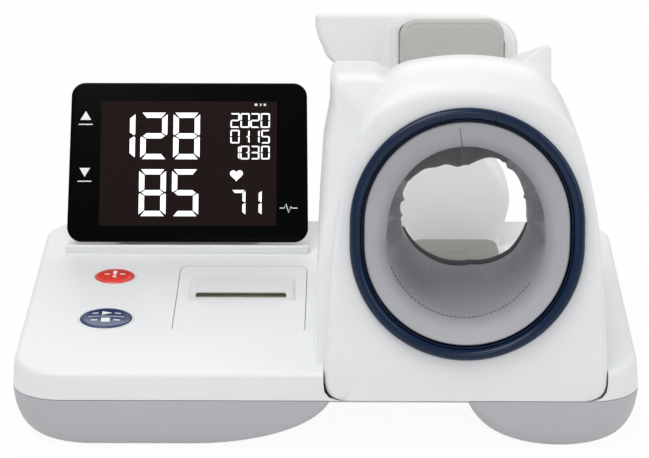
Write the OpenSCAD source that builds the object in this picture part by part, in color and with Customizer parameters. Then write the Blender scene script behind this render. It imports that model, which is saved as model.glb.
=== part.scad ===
// Arm-in blood pressure monitor: a table-top unit with a tilted display, two buttons,
// a strip printer, an arm tunnel with a padded cuff, and an armrest tower behind it.
// Millimetres. X to the right, Y to the rear, Z up, floor at Z = 0, origin under the middle.

/* [Base] */
// Overall width
body_w = 490; // [480:2:500]
// Overall depth
body_d = 336; // [332:2:350]
// Height of the joint between lower shell and top cover
parting_z = 40; // [38:0.5:42]
// Height of the cover's front edge
crease_z = 62; // [60:0.5:66]
// Slope of the cover, degrees up to the rear
deck_slope = 3.5; // [3:0.1:4]
// Corner radius of the base seen from above
corner_r = 40; // [36:1:46]
// Rounding of the cover's upper edge
edge_r = 10; // [8:0.5:12]
// Wall thickness of the casings
wall = 2.8; // [2.4:0.1:3.2]
// Left end of the arch under the base
arch_x0 = 4; // [0:1:8]
// Right end of the arch under the base
arch_x1 = 110; // [108:1:118]
// Height of the rubber feet
foot_h = 1.5; // [1.3:0.1:2]

/* [Tunnel] */
// Middle of the tunnel along X
tunnel_x = 108.5; // [107:0.5:110]
// Backward tilt of the tunnel's front, degrees
tunnel_tilt = 10; // [9.5:0.1:10.5]
// Height of the tunnel's middle above the skirt, along the tilted front
tunnel_u = 103; // [102:0.5:105]
// Outer radius of the entry ring
ring_r = 90; // [88:0.5:91]
// Radial width of the entry ring
ring_band = 10; // [9:0.5:11]
// Straight height added between the ring's two half circles
ring_rise = 15; // [12:1:18]
// How far the ring's bead stands in front of the face
ring_proud = 8; // [6:0.5:9]
// Half angle of the ring's separate top segment
cap_angle = 14.3; // [12:0.1:18]
// Depth at which front and rear shells of the tunnel meet
split_w = 60; // [55:1:65]
// Depth of the tunnel housing
tunnel_len = 150; // [148:1:154]
// Half width of the far opening of the cuff
far_half_w = 52; // [48:0.5:54]
// Half height of the far opening of the cuff
far_half_h = 46; // [43:0.5:48]

/* [Display] */
// Width of the display at its lower edge
display_w = 205.5; // [200:0.5:207]
// How much narrower the display is at its upper edge
display_taper = 3; // [2:0.5:5]
// Height of the display along its face
display_h = 139; // [137:1:141]
// Thickness of the display
display_t = 13; // [12:0.5:13.5]
// Lean of the display, degrees from upright
display_lean = 29; // [28:0.5:30]
// Middle of the display along X
display_x = -119.4; // [-121:0.1:-118]
// Width of the lit panel
lcd_w = 151; // [146:1:154]
// Height of the lit panel
lcd_h = 109; // [105:1:112]

/* [Buttons] */
// Diameter of the start and stop button
start_d = 41.5; // [38:0.5:44]
// Diameter of the emergency button
emergency_d = 32.5; // [30:0.5:35]
// Travel of both buttons
button_travel = 2.5; // [2:0.1:3]
// Distance of both buttons from the left side
button_inset = 67.8; // [66:0.2:70]

/* [Printer] */
// Width of the printer door
door_w = 106; // [104:1:108]
// Length of the printer door
door_l = 143; // [140:1:146]
// Middle of the door along X
door_x = -70; // [-72:0.5:-68]
// Gap round the door
door_gap = 1.2; // [1.1:0.05:1.5]
// Width of the paper slot
slot_w = 73.5; // [70:0.5:76]
// Diameter of the paper roll
roll_d = 40; // [34:1:42]
// Width of the paper roll
roll_w = 57.5; // [50:0.5:60]

/* [Armrest] */
// Top of the armrest tower
tower_top = 273; // [268:1:276]
// Width of the upper pad
pad_w = 89.5; // [84:0.5:92]
// Height of the upper pad
pad_h = 64; // [60:1:66]
// Width of the elbow pad
elbow_w = 74; // [70:1:78]
// Length of the elbow pad
elbow_l = 58; // [54:1:60]

/* [Hidden] */
$fn = 48;

white = [0.93, 0.93, 0.94];
shell_grey = [0.66, 0.66, 0.69];
light_grey = [0.80, 0.80, 0.79];
pad_grey = [0.67, 0.68, 0.64];
elbow_grey = [0.53, 0.53, 0.49];
cuff_grey = [0.57, 0.57, 0.60];
navy = [0.07, 0.14, 0.30];
navy_button = [0.13, 0.21, 0.43];
red = [0.87, 0.23, 0.17];
black = [0.04, 0.04, 0.05];
lcd_dark = [0.14, 0.10, 0.09];
board_green = [0.10, 0.36, 0.20];
steel = [0.70, 0.71, 0.73];
dark_plastic = [0.16, 0.16, 0.17];
cream = [0.90, 0.89, 0.85];

fit = 0.3;              // gap between casing pieces
seat = 0.2;             // gap under a piece that stands on another
running = 0.05;         // radial clearance of a shaft in its bore
half_w = body_w / 2;
half_d = body_d / 2;
cover_z = parting_z + fit;

// ---- outlines -------------------------------------------------------------------------

function arc(c, r, a0, a1, n) =
    [for (i = [0:n]) let (a = a0 + (a1 - a0) * i / n) [c[0] + r * cos(a), c[1] + r * sin(a)]];

// Oval or round-cornered outline: four quarter circles moved apart by hx and hy.
function oval(r, hx, hy, m = 8, c = [0, 0]) =
    [for (q = [0:3]) for (p = arc([c[0] + hx * [1, -1, -1, 1][q], c[1] + hy * [1, 1, -1, -1][q]],
        r, q * 90, q * 90 + 90, m)) p];

function round_box(x0, x1, y0, y1, r, m = 6) =
    oval(r, (x1 - x0) / 2 - r, (y1 - y0) / 2 - r, m, [(x0 + x1) / 2, (y0 + y1) / 2]);

function bezier(a, b, c, d, n) =
    [for (i = [0:n]) let (t = i / n, s = 1 - t)
        s * s * s * a + 3 * s * s * t * b + 3 * s * t * t * c + t * t * t * d];

function mirrored(points, x) = [for (i = [len(points) - 1:-1:0]) [2 * x - points[i][0], points[i][1]]];

// ---- ways to carry an outline ---------------------------------------------------------

// Outline in X and Z, carried from y0 to y1.
module through(y0, y1) {
    translate([0, y1, 0]) rotate([90, 0, 0]) linear_extrude(height = y1 - y0) children();
}

// Outline in Y and Z, carried from x0 to x1.
module across(x0, x1) {
    translate([x0, 0, 0]) rotate([90, 0, 90]) linear_extrude(height = x1 - x0) children();
}

// Outline in X and Y, carried from z0 to z1.
module upright(z0, z1) {
    translate([0, 0, z0]) linear_extrude(height = z1 - z0) children();
}

module rod_x(x0, x1, y, z, r) {
    translate([x0, y, z]) rotate([0, 90, 0]) cylinder(h = x1 - x0, r = r);
}

module block(x0, x1, y0, y1, z0, z1) {
    translate([x0, y0, z0]) cube([x1 - x0, y1 - y0, z1 - z0]);
}

// Closed surface through rings of equal point count; the last ring joins the first.
module ring_loft(rings) {
    n = len(rings[0]);
    m = len(rings);
    points = [for (ring = rings) for (p = ring) p];
    faces = [for (j = [0:m - 1]) for (i = [0:n - 1]) for (half = [0, 1])
        let (a = j * n + i, b = j * n + (i + 1) % n, c = ((j + 1) % m) * n + i,
            d = ((j + 1) % m) * n + (i + 1) % n)
        half == 0 ? [a, b, c] : [b, d, c]];
    polyhedron(points = points, faces = faces, convexity = 6);
}

// Cushion: rings of one outline, from its underside to its crown, closed by two fans.
// The sides draw in below and above the widest ring, and the crown dips along its middle.
module cushion(w, h, t, r, dip) {
    shrink = [4.5, 1.6, 0, 0.6, 2.6, 6.5, 14, 24];
    rise = [0, 0.14, 0.36, 0.60, 0.80, 0.92, 0.98, 1];
    m = 6;
    function sag(x, k) = dip * (k > 2 ? (k - 2) / 5 : 0) * pow(cos(90 * min(1, abs(x) / (w / 2))), 2);
    rings = [for (k = [0:7]) [for (p = oval(max(1, r - shrink[k] * 0.6),
        w / 2 - shrink[k] - max(1, r - shrink[k] * 0.6),
        h / 2 - shrink[k] - max(1, r - shrink[k] * 0.6), m)) [p[0], p[1], rise[k] * t - sag(p[0], k)]]];
    n = len(rings[0]);
    points = concat([for (ring = rings) for (p = ring) p], [[0, 0, 0], [0, 0, t - dip]]);
    sides = [for (j = [0:6]) for (i = [0:n - 1]) for (half = [0, 1])
        let (a = j * n + i, b = j * n + (i + 1) % n, c = a + n, d = b + n)
        half == 0 ? [a, c, b] : [b, c, d]];
    under = [for (i = [0:n - 1]) [8 * n, i, (i + 1) % n]];
    crown = [for (i = [0:n - 1]) [8 * n + 1, 7 * n + (i + 1) % n, 7 * n + i]];
    polyhedron(points = points, faces = concat(sides, under, crown), convexity = 4);
}

// ---- base casing ----------------------------------------------------------------------

function deck_z(y) = crease_z + (y + half_d) * tan(deck_slope);

// Frame of the sloping deck: X across, Y up the slope from the front edge, Z out of the deck.
module deck(v = 0, x = 0) {
    translate([0, -half_d, crease_z]) rotate([deck_slope, 0, 0]) translate([x, v, 0]) children();
}

function deck_v(y) = (y + half_d) / cos(deck_slope);

function cover_side(o) = let (
    drop = edge_r / cos(deck_slope),
    front = -half_d + edge_r,
    rear = half_d - edge_r)
    concat([[-half_d + o, 0]],
        arc([front, deck_z(front) - drop], edge_r - o, 180, 90 + deck_slope, 5),
        arc([rear, deck_z(rear) - drop], edge_r - o, 90 + deck_slope, 0, 5),
        [[half_d - o, 0]]);

function cover_front(o) = concat([[-half_w + o, -80]],
    arc([-half_w + edge_r, -edge_r], edge_r - o, 180, 90, 5),
    arc([half_w - edge_r, -edge_r], edge_r - o, 90, 0, 5),
    [[half_w - o, -80]]);

module plan(o) {
    polygon(oval(corner_r - o, half_w - corner_r, half_d - corner_r, 9));
}

module cover_body(o, z0) {
    intersection() {
        upright(z0, 120) plan(o);
        across(-body_w, body_w) polygon(cover_side(o));
        deck() through(-60, body_d + 60) polygon(cover_front(o));
    }
}

// One foot pod seen from the front: the outer side at xo and the arch side at xi.
pod_round_outer = 26;
pod_belly = 9;
pod_hip = 10;
function pod(xo, xi, run, o) = let (d = sign(xi - xo), z = foot_h + o)
    concat(bezier([xo + d * o, parting_z + o], [xo + d * (1 + o), parting_z / 2],
            [xo + d * (pod_belly + o), z], [xo + d * pod_round_outer, z], 7),
        bezier([xi - d * run, z], [xi - d * run / 2, z],
            [xi - d * (pod_hip + o), parting_z / 3], [xi - d * o, parting_z + o], 7));

// Lengths of the slopes on the arch side, and the rounding of the pods' front and rear.
left_run = 100;
right_run = 54;
pod_end = 11;
pod_end_z = 24;

function pod_side(o) = concat([[-half_d + o, parting_z + o]],
    bezier([-half_d + o, pod_end_z], [-half_d + o, pod_end_z / 3], [-half_d + pod_end / 4 + o, foot_h + o],
        [-half_d + pod_end + o, foot_h + o], 6),
    bezier([half_d - pod_end - o, foot_h + o], [half_d - pod_end / 4 - o, foot_h + o],
        [half_d - o, pod_end_z / 3], [half_d - o, pod_end_z], 6),
    [[half_d - o, parting_z + o]]);

module pods(o, z1) {
    intersection() {
        upright(0, z1) plan(o);
        across(-body_w, body_w) polygon(pod_side(o));
        through(-body_d, body_d) union() {
            polygon(pod(-half_w, arch_x0, left_run, o));
            polygon(pod(half_w, arch_x1, right_run, o));
        }
    }
}

bridge_t = 1.8;
left_boss = [[-half_w + 45, -half_d + 50], [-half_w + 45, half_d - 50], [-60, -half_d + 40],
    [-60, half_d - 40]];
right_boss = [[half_w - 49, half_d - 56]];
tunnel_boss_x = [tunnel_x - 94.5, tunnel_x + 94.5];
tunnel_boss_front = [for (x = tunnel_boss_x) [x, -half_d + 48]];
tunnel_boss_rear = [for (x = tunnel_boss_x) [x, -half_d + 128]];
screw_r = 1.5;
head_r = 3.2;
head_h = 2.2;
boss_r = 5;

module at_each(places) {
    for (p = places) translate([p[0], p[1], 0]) children();
}

module lower_shell() {
    color(shell_grey) difference() {
        union() {
            difference() {
                pods(0, parting_z);
                pods(wall, parting_z + 1);
            }
            intersection() {
                upright(parting_z - bridge_t, parting_z) plan(0);
                block(arch_x0 - 3, arch_x1 + 3, -half_d, half_d, 0, parting_z);
            }
            intersection() {
                pods(0.5, parting_z);
                at_each(concat(left_boss, right_boss, [tunnel_boss_front[1], tunnel_boss_rear[1]]))
                    cylinder(h = parting_z, r = boss_r);
            }
            at_each([tunnel_boss_front[0], tunnel_boss_rear[0]])
                translate([0, 0, parting_z - 5]) cylinder(h = 5, r = boss_r + 1);
        }
        at_each(concat(left_boss, right_boss, tunnel_boss_front, tunnel_boss_rear)) {
            translate([0, 0, -1]) cylinder(h = parting_z + 2, r = screw_r + 0.3);
        }
        at_each(concat(left_boss, right_boss, [tunnel_boss_front[1], tunnel_boss_rear[1]]))
            translate([0, 0, -1]) cylinder(h = screw_seat + 1, r = head_r + 0.4);
        at_each([tunnel_boss_front[0], tunnel_boss_rear[0]])
            translate([0, 0, parting_z - 6]) cylinder(h = 6 - bridge_t, r = head_r + 0.4);
        for (y = speaker_slots) block(speaker_x - 12, speaker_x + 12, y - 1, y + 1, -1, 8);
    }
}

// Height of the screw heads' seats and depth of the screws' pilot holes in the cover
screw_seat = 9;
pilot_depth = 11;

module screw(z0, length) {
    translate([0, 0, z0]) cylinder(h = head_h, r = head_r);
    translate([0, 0, z0 + head_h - 0.01]) cylinder(h = length, r = screw_r);
}

cover_screw_len = parting_z + 9 - screw_seat;

module base_screws() {
    color(steel) at_each(concat(left_boss, right_boss)) screw(screw_seat - head_h, cover_screw_len);
}

foot_places = [[-half_w + 61, -half_d + 40], [-half_w + 61, half_d - 40], [-100, -half_d + 28],
    [-100, half_d - 28],
    [half_w - 55, -half_d + 40], [half_w - 55, half_d - 36]];

module rubber_feet() {
    color(dark_plastic) at_each(foot_places) {
        cylinder(h = foot_h, r = 6.5);
    }
}

// Deck openings
start_x = -half_w + button_inset;
start_y = -half_d + 109.6;
emergency_x = -half_w + button_inset + 0.2;
emergency_y = -half_d + 200;
rim_w = 1.6;
door_v0 = deck_v(-half_d + 82.5);
door_edge = 9;
house_gap = 0.5;

module on_deck(x, y) {
    deck(deck_v(y), x) children();
}

module house_footprint(z0, z1, gap) {
    block(house_x0 - gap, house_x1 + gap, -half_d - 20, house_deck_y + gap, z0, z1);
}

module top_cover() {
    color(white) difference() {
        union() {
            difference() {
                cover_body(0, cover_z);
                cover_body(wall, cover_z - 1);
            }
            intersection() {
                cover_body(1, cover_z);
                at_each(concat(left_boss, right_boss))
                    translate([0, 0, cover_z]) cylinder(h = 60, r = boss_r);
            }
        }
        house_footprint(0, 200, house_gap);
        on_deck(door_x, -half_d) translate([0, door_v0 + door_l / 2, -12]) linear_extrude(height = 30)
            polygon(oval(door_edge, (door_w / 2 - door_edge) + door_gap,
                (door_l / 2 - door_edge) + door_gap));
        on_deck(start_x, start_y) translate([0, 0, -10]) cylinder(h = 30, r = start_d / 2 + rim_w + fit,
            $fn = 64);
        on_deck(emergency_x, emergency_y) translate([0, 0, -10])
            cylinder(h = 30, r = emergency_d / 2 + rim_w + fit, $fn = 64);
        at_each(concat(left_boss, right_boss))
            translate([0, 0, cover_z - 1]) cylinder(h = pilot_depth + 1, r = screw_r + 0.05);
        through(half_d - wall - 2, half_d + 1) union() {
            polygon(round_box(inlet_x - inlet_w / 2, inlet_x + inlet_w / 2, inlet_z0, inlet_z1, 2, 3));
            polygon(round_box(rocker_x - rocker_w / 2, rocker_x + rocker_w / 2, inlet_z0, inlet_z1, 1.5, 3));
            polygon(round_box(port_x - port_w / 2, port_x + port_w / 2, inlet_z0 + 2, inlet_z1 - 4, 1.5, 3));
        }
        on_deck(display_x, display_y + 31) translate([0, 0, -10]) cylinder(h = 20, r = 7);
        at_each(display_bolts) translate([0, 0, 50]) cylinder(h = 60, r = screw_r + 0.3);
        at_each(armrest_bolts) translate([0, 0, 50]) cylinder(h = 60, r = screw_r + 0.3);
    }
}

// ---- tunnel housing -------------------------------------------------------------------

face_y = -half_d + 2;
face_z = crease_z + 6;
house_x0 = tunnel_x - 109.5;
house_x1 = tunnel_x + 109.5;
dome_r = 55;
dome_fall = 4.5;
crest_u = 236;
house_rear_y = -half_d + 190;

// Frame of the tilted tunnel: X across, Y along the tunnel, Z up the front face.
module tunnel(w = 0) {
    translate([0, face_y, face_z]) rotate([-tunnel_tilt, 0, 0]) translate([0, w, 0]) children();
}

// Point of the tilted frame, as Y and Z of the whole unit.
function tilted(w, u) = [face_y + w * cos(tunnel_tilt) + u * sin(tunnel_tilt),
    face_z + u * cos(tunnel_tilt) - w * sin(tunnel_tilt)];

// Where the housing's rear wall passes the deck.
house_deck_z = deck_z(-half_d + 155);
house_deck_y = tilted(tunnel_len, (house_deck_z - face_z + tunnel_len * sin(tunnel_tilt)) / cos(tunnel_tilt))[0];

// Right half of the housing's outline, from the skirt's corner up to the crest.
function house_half(o) = let (x = tunnel_x)
    concat([[x + 96.5 - o, -45 + o], [x + 109.5 - o, -40 + o], [x + 109.5 - o, 0]],
        [for (p = bezier([102.5, 107], [100, 135], [86, 172], [76, 204], 6)) [x + p[0] - o, p[1]]],
        [for (p = bezier([74.8, 207.5], [71.5, 217], [64, 226.5], [50, 230.4], 5)) [x + p[0] - 0.9 * o,
            p[1] - 0.9 * o]],
        [for (p = arc([0, crest_u + 1 - 180], 180, 76, 90, 3)) [x + p[0] * (1 - o / 100), p[1] - o]]);

function house_outline(o) = concat(house_half(o), mirrored(house_half(o), tunnel_x));

function house_profile(o) = concat([[-half_d + o, parting_z - 20], [-half_d + o, cover_z], tilted(o, 0)],
    [for (a = [180:-10:90]) tilted(dome_r + (dome_r - o) * cos(a),
        crest_u - dome_r + (dome_r - o) * sin(a))],
    [tilted(tunnel_len - o, crest_u - o - (tunnel_len - dome_r) * tan(dome_fall)),
        tilted(tunnel_len - o, -10), [house_rear_y - 60, parting_z - 20]]);

module house_body(o, z0) {
    intersection() {
        tunnel() through(-30, tunnel_len + 20) polygon(house_outline(o));
        across(house_x0 - 20, house_x1 + 20) polygon(house_profile(o));
        upright(z0, 320) polygon(round_box(house_x0 + o, house_x1 - o, -half_d + o, house_rear_y + 60,
            14 - o));
    }
}

// Square shoulders behind the arch: a low peak at the right corner, and a left side that flares to the deck.
shoulder_x0 = tunnel_x - 105.5;
shoulder_x1 = tunnel_x + 67;
shoulder_u = 225;
shoulder_step = 1;
shoulder_flare = 9.5;
shoulder_rear = 2;
ear = 19;
function shoulder_outline(o) = let (l = shoulder_x0, r = shoulder_x1, u = shoulder_u) concat(
    [[r - o, -20], [r - o, u + 13], [r - 1.2 - o, u + 17 - o], [r - 3.6, u + ear - 1.3 * o],
        [r - 7, u + ear - 1.2 - 1.3 * o], [r - 18, u + 9.5 - 1.1 * o], [r - 25, u + 4.5 - o],
            [r - 31, u - 4 - o],
        [l + 44, u - 4.5 - o], [l + 33, u - o]],
    arc([l + 7, u - 7], 7 - o, 90, 180, 4),
    [[l + o, u - 27], [l - 5.4 + o, u - 57], [l - 9 + o, u - 125], [l - shoulder_flare + o, u - 165],
        [l - shoulder_flare + o, -20]]);

module shoulders(o, z0) {
    intersection() {
        tunnel() through(split_w + shoulder_step + o, tunnel_len - shoulder_step - o)
            polygon(shoulder_outline(o));
        across(house_x0 - 20, house_x1 + 20) polygon([tilted(split_w - 5, -60),
            tilted(split_w - 5, shoulder_u + ear + 1 - 1.2 * o),
            tilted(tunnel_len + 5, shoulder_u + shoulder_rear - 1.2 * o), tilted(tunnel_len + 5, -60)]);
        upright(z0, 320) polygon(round_box(shoulder_x0 - shoulder_flare + o, shoulder_x1 - o, -half_d + 48,
            house_rear_y + 60, 10 - o));
        union() {
            block(house_x0 + o, house_x1, -half_d, half_d, z0, 320);
            deck() block(-half_w, half_w, 0, body_d, fit + o, 320);
        }
    }
}

drum_r = ring_r - 5.6;
drum_t = 3;
drum_w0 = 10;
drum_w1 = tunnel_len - wall - fit;

module tunnel_axis(w = 0) {
    tunnel(w) translate([tunnel_x, 0, tunnel_u]) children();
}

module stadium_prism(r, w0, w1) {
    tunnel_axis() through(w0, w1) union() {
        translate([0, ring_rise / 2]) circle(r = r, $fn = 96);
        translate([0, -ring_rise / 2]) circle(r = r, $fn = 96);
        translate([-r, -ring_rise / 2]) square([2 * r, ring_rise]);
    }
}

module tunnel_split(front) {
    if (front) {
        tunnel() block(-100, 400, -60, split_w - fit / 2, -200, 400);
    } else {
        tunnel() block(-100, 400, split_w + fit / 2, 400, -200, 400);
    }
}

module tunnel_boss(p, z1) {
    side = p[0] < tunnel_x ? house_x0 + 1.5 : house_x1 - 1.5;
    translate([p[0], p[1], cover_z]) cylinder(h = z1 - cover_z, r = boss_r);
    block(min(side, p[0]), max(side, p[0]), p[1] - 1.5, p[1] + 1.5, cover_z, z1);
}

module tunnel_front_shell() {
    color(white) difference() {
        union() {
            intersection() {
                difference() {
                    house_body(0, cover_z);
                    house_body(wall, cover_z - 10);
                }
                tunnel_split(true);
            }
            for (p = tunnel_boss_front) tunnel_boss(p, cover_z + 14);
        }
        stadium_prism(ring_r - 5, -40, 20);
        for (p = tunnel_boss_front) translate([p[0], p[1], cover_z - 1])
            cylinder(h = 13, r = screw_r + 0.05);
    }
}

module tunnel_rear_shell() {
    color(white) difference() {
        union() {
            intersection() {
                difference() {
                    union() {
                        house_body(0, cover_z);
                        shoulders(0, cover_z);
                    }
                    house_body(wall, cover_z - 10);
                    shoulders(wall, cover_z - 10);
                }
                tunnel_split(false);
            }
            for (p = tunnel_boss_rear) tunnel_boss(p, cover_z + 14);
        }
        tunnel_axis() through(tunnel_len - 20, tunnel_len + 20) polygon(oval(collar_r - 1, collar_hx, 2));
        block(22, 44, house_deck_y - 22, house_deck_y + 8, cover_z - 1, hose_notch_z);
        for (p = tunnel_boss_rear) translate([p[0], p[1], cover_z - 1]) cylinder(h = 13, r = screw_r + 0.05);
    }
}

module tunnel_screws() {
    color(steel) union() {
        at_each([tunnel_boss_front[1], tunnel_boss_rear[1]]) screw(screw_seat - head_h, cover_screw_len);
        at_each([tunnel_boss_front[0], tunnel_boss_rear[0]]) screw(parting_z - bridge_t - head_h, 11);
    }
}

module cuff_drum() {
    color(cream) difference() {
        stadium_prism(drum_r, drum_w0, drum_w1);
        stadium_prism(drum_r - drum_t, drum_w0 - 1, drum_w1 + 1);
    }
}

// Section of the entry ring: a half-round bead in front and a flange that enters the face.
bead_r = ring_band / 2;
module ring_section() {
    inner = ring_r - ring_band;
    polygon(concat([[inner, seat - drum_w0], [inner + bead_r - fit, seat - drum_w0],
        [inner + bead_r - fit, fit],
        [ring_r, fit]], arc([ring_r - bead_r, ring_proud - bead_r], bead_r, 0, 180, 12)));
}

// Part of the ring's upper or lower half circle, from angle a0 to a1 seen from the front.
module ring_arc(a0, a1, up) {
    tunnel_axis() translate([0, 0, up * ring_rise / 2]) rotate([90, 0, 0]) rotate([0, 0, a0])
        rotate_extrude(angle = a1 - a0, $fn = 96) ring_section();
}

module ring_straight(side) {
    tunnel_axis() translate([0, 0, -ring_rise / 2]) linear_extrude(height = ring_rise)
        if (side > 0) {
            mirror([0, 1]) ring_section();
        } else {
            mirror([1, 0]) mirror([0, 1]) ring_section();
        }
}

module ring_body() {
    color(navy) union() {
        ring_arc(0, 90 - cap_angle - 0.15, 1);
        ring_arc(90 + cap_angle + 0.15, 180, 1);
        ring_arc(180, 360, -1);
        ring_straight(1);
        ring_straight(-1);
    }
}

module ring_top_segment() {
    color(navy) ring_arc(90 - cap_angle, 90 + cap_angle, 1);
}

// Cuff liner: stations of radius, half widths of its straights across and up, and depth.
inner_r = ring_r - ring_band;
flat_min = 0.4;
liner_w1 = tunnel_len + 3;
far_hz = 3;
far_r = far_half_h - far_hz;
far_hx = far_half_w - far_r;

function station(r, hx, hz, w) = [for (p = oval(r, hx, hz, 9)) [p[0], w, p[1]]];

function liner_stations() = [
    station(inner_r - 1.2, flat_min, ring_rise / 2, 1.5),
    station(inner_r - 0.6, flat_min, ring_rise / 2, 14),
    station(inner_r - 5, flat_min, 7, 30),
    station(inner_r - 12, 1, 6, 52),
    station(inner_r - 20, 3, 5, 84),
    station(far_r + 5, far_hx - 1, far_hz, 118),
    station(far_r + 4, far_hx, far_hz, liner_w1),
    station(far_r + 1, far_hx, far_hz, liner_w1 + 1.5),
    station(far_r, far_hx, far_hz, liner_w1 - 1),
    station(far_r, far_hx, far_hz, 118),
    station(inner_r - 27, 3, 4, 84),
    station(inner_r - 20, 1, 5, 56),
    station(inner_r - 14.5, flat_min, 6, 34),
    station(inner_r - 10, flat_min, 7, 18),
    station(inner_r - 6, flat_min, 7.2, 4),
    station(inner_r - 3.4, flat_min, 7.4, -1.5)];

module cuff_liner() {
    color(cuff_grey) tunnel_axis() ring_loft(liner_stations());
}

bladder_r = drum_r - drum_t - fit - flat_min;
function bladder_stations() = [
    station(bladder_r, flat_min, ring_rise / 2, 34),
    station(bladder_r, flat_min, ring_rise / 2, drum_w1 - 8),
    station(far_r + 7, far_hx, far_hz + 0.4, drum_w1 - 8),
    station(far_r + 8.6, far_hx - 1, far_hz + 0.4, 112),
    station(inner_r - 17.6, 3, 5.2, 84),
    station(inner_r - 10, 1, 6.2, 54),
    station(inner_r - 3, flat_min, 7, 36)];

module cuff_bladder() {
    color(cream) tunnel_axis() ring_loft(bladder_stations());
}

collar_r = far_r + 14;
collar_hx = far_hx - 3;
module rear_collar() {
    color(light_grey) difference() {
        union() {
            tunnel_axis() through(drum_w1 - 6, drum_w1) polygon(oval(bladder_r, flat_min, ring_rise / 2));
            tunnel_axis() through(drum_w1 - 1, tunnel_len + 1)
                polygon(oval(collar_r - 1 - fit, collar_hx, 2));
        }
        tunnel_axis() through(0, tunnel_len + 30) polygon(oval(far_r + 4.6, far_hx, far_hz));
    }
}

// ---- buttons --------------------------------------------------------------------------

cap_skirt = 6;
cap_roof = 2;
stem_r = 3;
spring_r = 5;
board_drop = 16;
switch_h = 4;

module button_cap(d) {
    difference() {
        union() {
            intersection() {
                translate([0, 0, -cap_skirt]) cylinder(h = cap_skirt + 2.4, r = d / 2, $fn = 64);
                translate([0, 0, 2.4 - d * 1.6]) sphere(r = d * 1.6, $fn = 96);
            }
            translate([0, 0, -cap_skirt]) cylinder(h = 1.6, r = d / 2 + 1.2, $fn = 64);
        }
        translate([0, 0, -cap_skirt - 1]) cylinder(h = cap_skirt + 1 - cap_roof, r = d / 2 - 2, $fn = 64);
    }
    translate([0, 0, -board_drop + switch_h + button_travel + fit])
        cylinder(h = board_drop - switch_h - button_travel - fit, r = stem_r);
}

// Bright rim that lines the hole in the cover and stands a little proud of it.
module button_rim(d) {
    difference() {
        union() {
            translate([0, 0, -wall]) cylinder(h = wall + 0.6, r = d / 2 + rim_w, $fn = 64);
            translate([0, 0, -wall - 1.6]) cylinder(h = 1.4, r = d / 2 + rim_w + 2, $fn = 64);
            translate([0, 0, -wall - 0.3]) cylinder(h = 0.4, r = d / 2 + rim_w, $fn = 64);
        }
        translate([0, 0, -20]) cylinder(h = 40, r = d / 2 + fit, $fn = 64);
    }
}

module button_spring() {
    translate([0, 0, -board_drop + seat]) difference() {
        cylinder(h = board_drop - 2 * seat - cap_roof, r = spring_r + 1.2);
        translate([0, 0, -1]) cylinder(h = board_drop + 2, r = spring_r);
    }
}

module start_stop_button() {
    color(navy_button) on_deck(start_x, start_y) button_cap(start_d);
}

module emergency_button() {
    color(red) on_deck(emergency_x, emergency_y) button_cap(emergency_d);
}

module start_button_rim() {
    color(white) on_deck(start_x, start_y) button_rim(start_d);
}

module emergency_button_rim() {
    color(white) on_deck(emergency_x, emergency_y) button_rim(emergency_d);
}

module start_button_spring() {
    color(steel) on_deck(start_x, start_y) button_spring();
}

module emergency_button_spring() {
    color(steel) on_deck(emergency_x, emergency_y) button_spring();
}

board_t = 1.6;
board_y0 = start_y - 32;
board_y1 = emergency_y + 28;

module key_board() {
    color(board_green) union() {
        on_deck(start_x, board_y0) translate([-15, 0, -board_drop - board_t])
            cube([32, deck_v(board_y1) - deck_v(board_y0), board_t]);
        for (y = [board_y0 + 3, board_y1 - 3]) on_deck(start_x - 11, y)
            translate([0, 0, -board_drop - board_t / 2])
            cylinder(h = board_drop + board_t / 2 - wall - seat, r = 2.4);
    }
}

module key_switches() {
    color(dark_plastic) for (p = [[start_x, start_y], [emergency_x, emergency_y]]) on_deck(p[0], p[1])
        translate([-3, -3, -board_drop + 0.02]) cube([6, 6, switch_h]);
}

// ---- printer --------------------------------------------------------------------------

door_t = 2.6;
hinge_y = -half_d + 208;
hinge_drop = 5;
hinge_r = 3.2;
pin_r = 1.2;
pin_l = 20;
knuckle_w = 12;
hood_w = 87.8;
hood_h = 8;
hood_y0 = -half_d + 149;
hood_y1 = -half_d + 205;
slot_z = 2.6;
slot_h = 3.6;
slot_deep = 4;
knuckle_x = [door_x - 38, door_x + 38];

module door_frame() {
    on_deck(door_x, -half_d) translate([0, door_v0 + door_l / 2, 0]) children();
}

hood_v0 = deck_v(hood_y0) - door_v0 - door_l / 2;
hood_v1 = deck_v(hood_y1) - door_v0 - door_l / 2;
hinge_v = deck_v(hinge_y) - door_v0 - door_l / 2;

module hood(o) {
    across(-hood_w / 2 + o, hood_w / 2 - o)
        polygon(concat([[hood_v0 + o, -door_t], [hood_v0 + o, hood_h - 1.5 - o / 2]],
            arc([hood_v0 + 2.5 + o, hood_h - 2.5 - o / 2], 2.3, 150, 82, 3),
            [[hood_v1 - o, 0.4 - o / 2], [hood_v1 - o, -door_t]]));
}

module printer_door() {
    color(white) door_frame() difference() {
        union() {
            difference() {
                union() {
                    translate([0, 0, -door_t]) linear_extrude(height = door_t)
                        polygon(oval(door_edge, door_w / 2 - door_edge, door_l / 2 - door_edge));
                    hood(0);
                }
                hood(2.2);
                translate([0, 0, -door_t - 1]) block(-hood_w / 2 + 2.2, hood_w / 2 - 2.2, hood_v0 + 2.2,
                    hood_v1 - 4, 0, 3);
            }
            for (x = knuckle_x) translate([x - door_x - knuckle_w / 2, hinge_v, -hinge_drop]) rotate([0, 90,
                0])
                cylinder(h = knuckle_w, r = hinge_r);
        }
        for (x = knuckle_x) translate([x - door_x - knuckle_w / 2 - 1, hinge_v, -hinge_drop]) rotate([0, 90,
            0])
            cylinder(h = knuckle_w + 2, r = pin_r + running);
        block(-slot_w / 2, slot_w / 2, hood_v0 - 1, hood_v0 + slot_deep, slot_z, slot_z + slot_h);
    }
}

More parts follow.
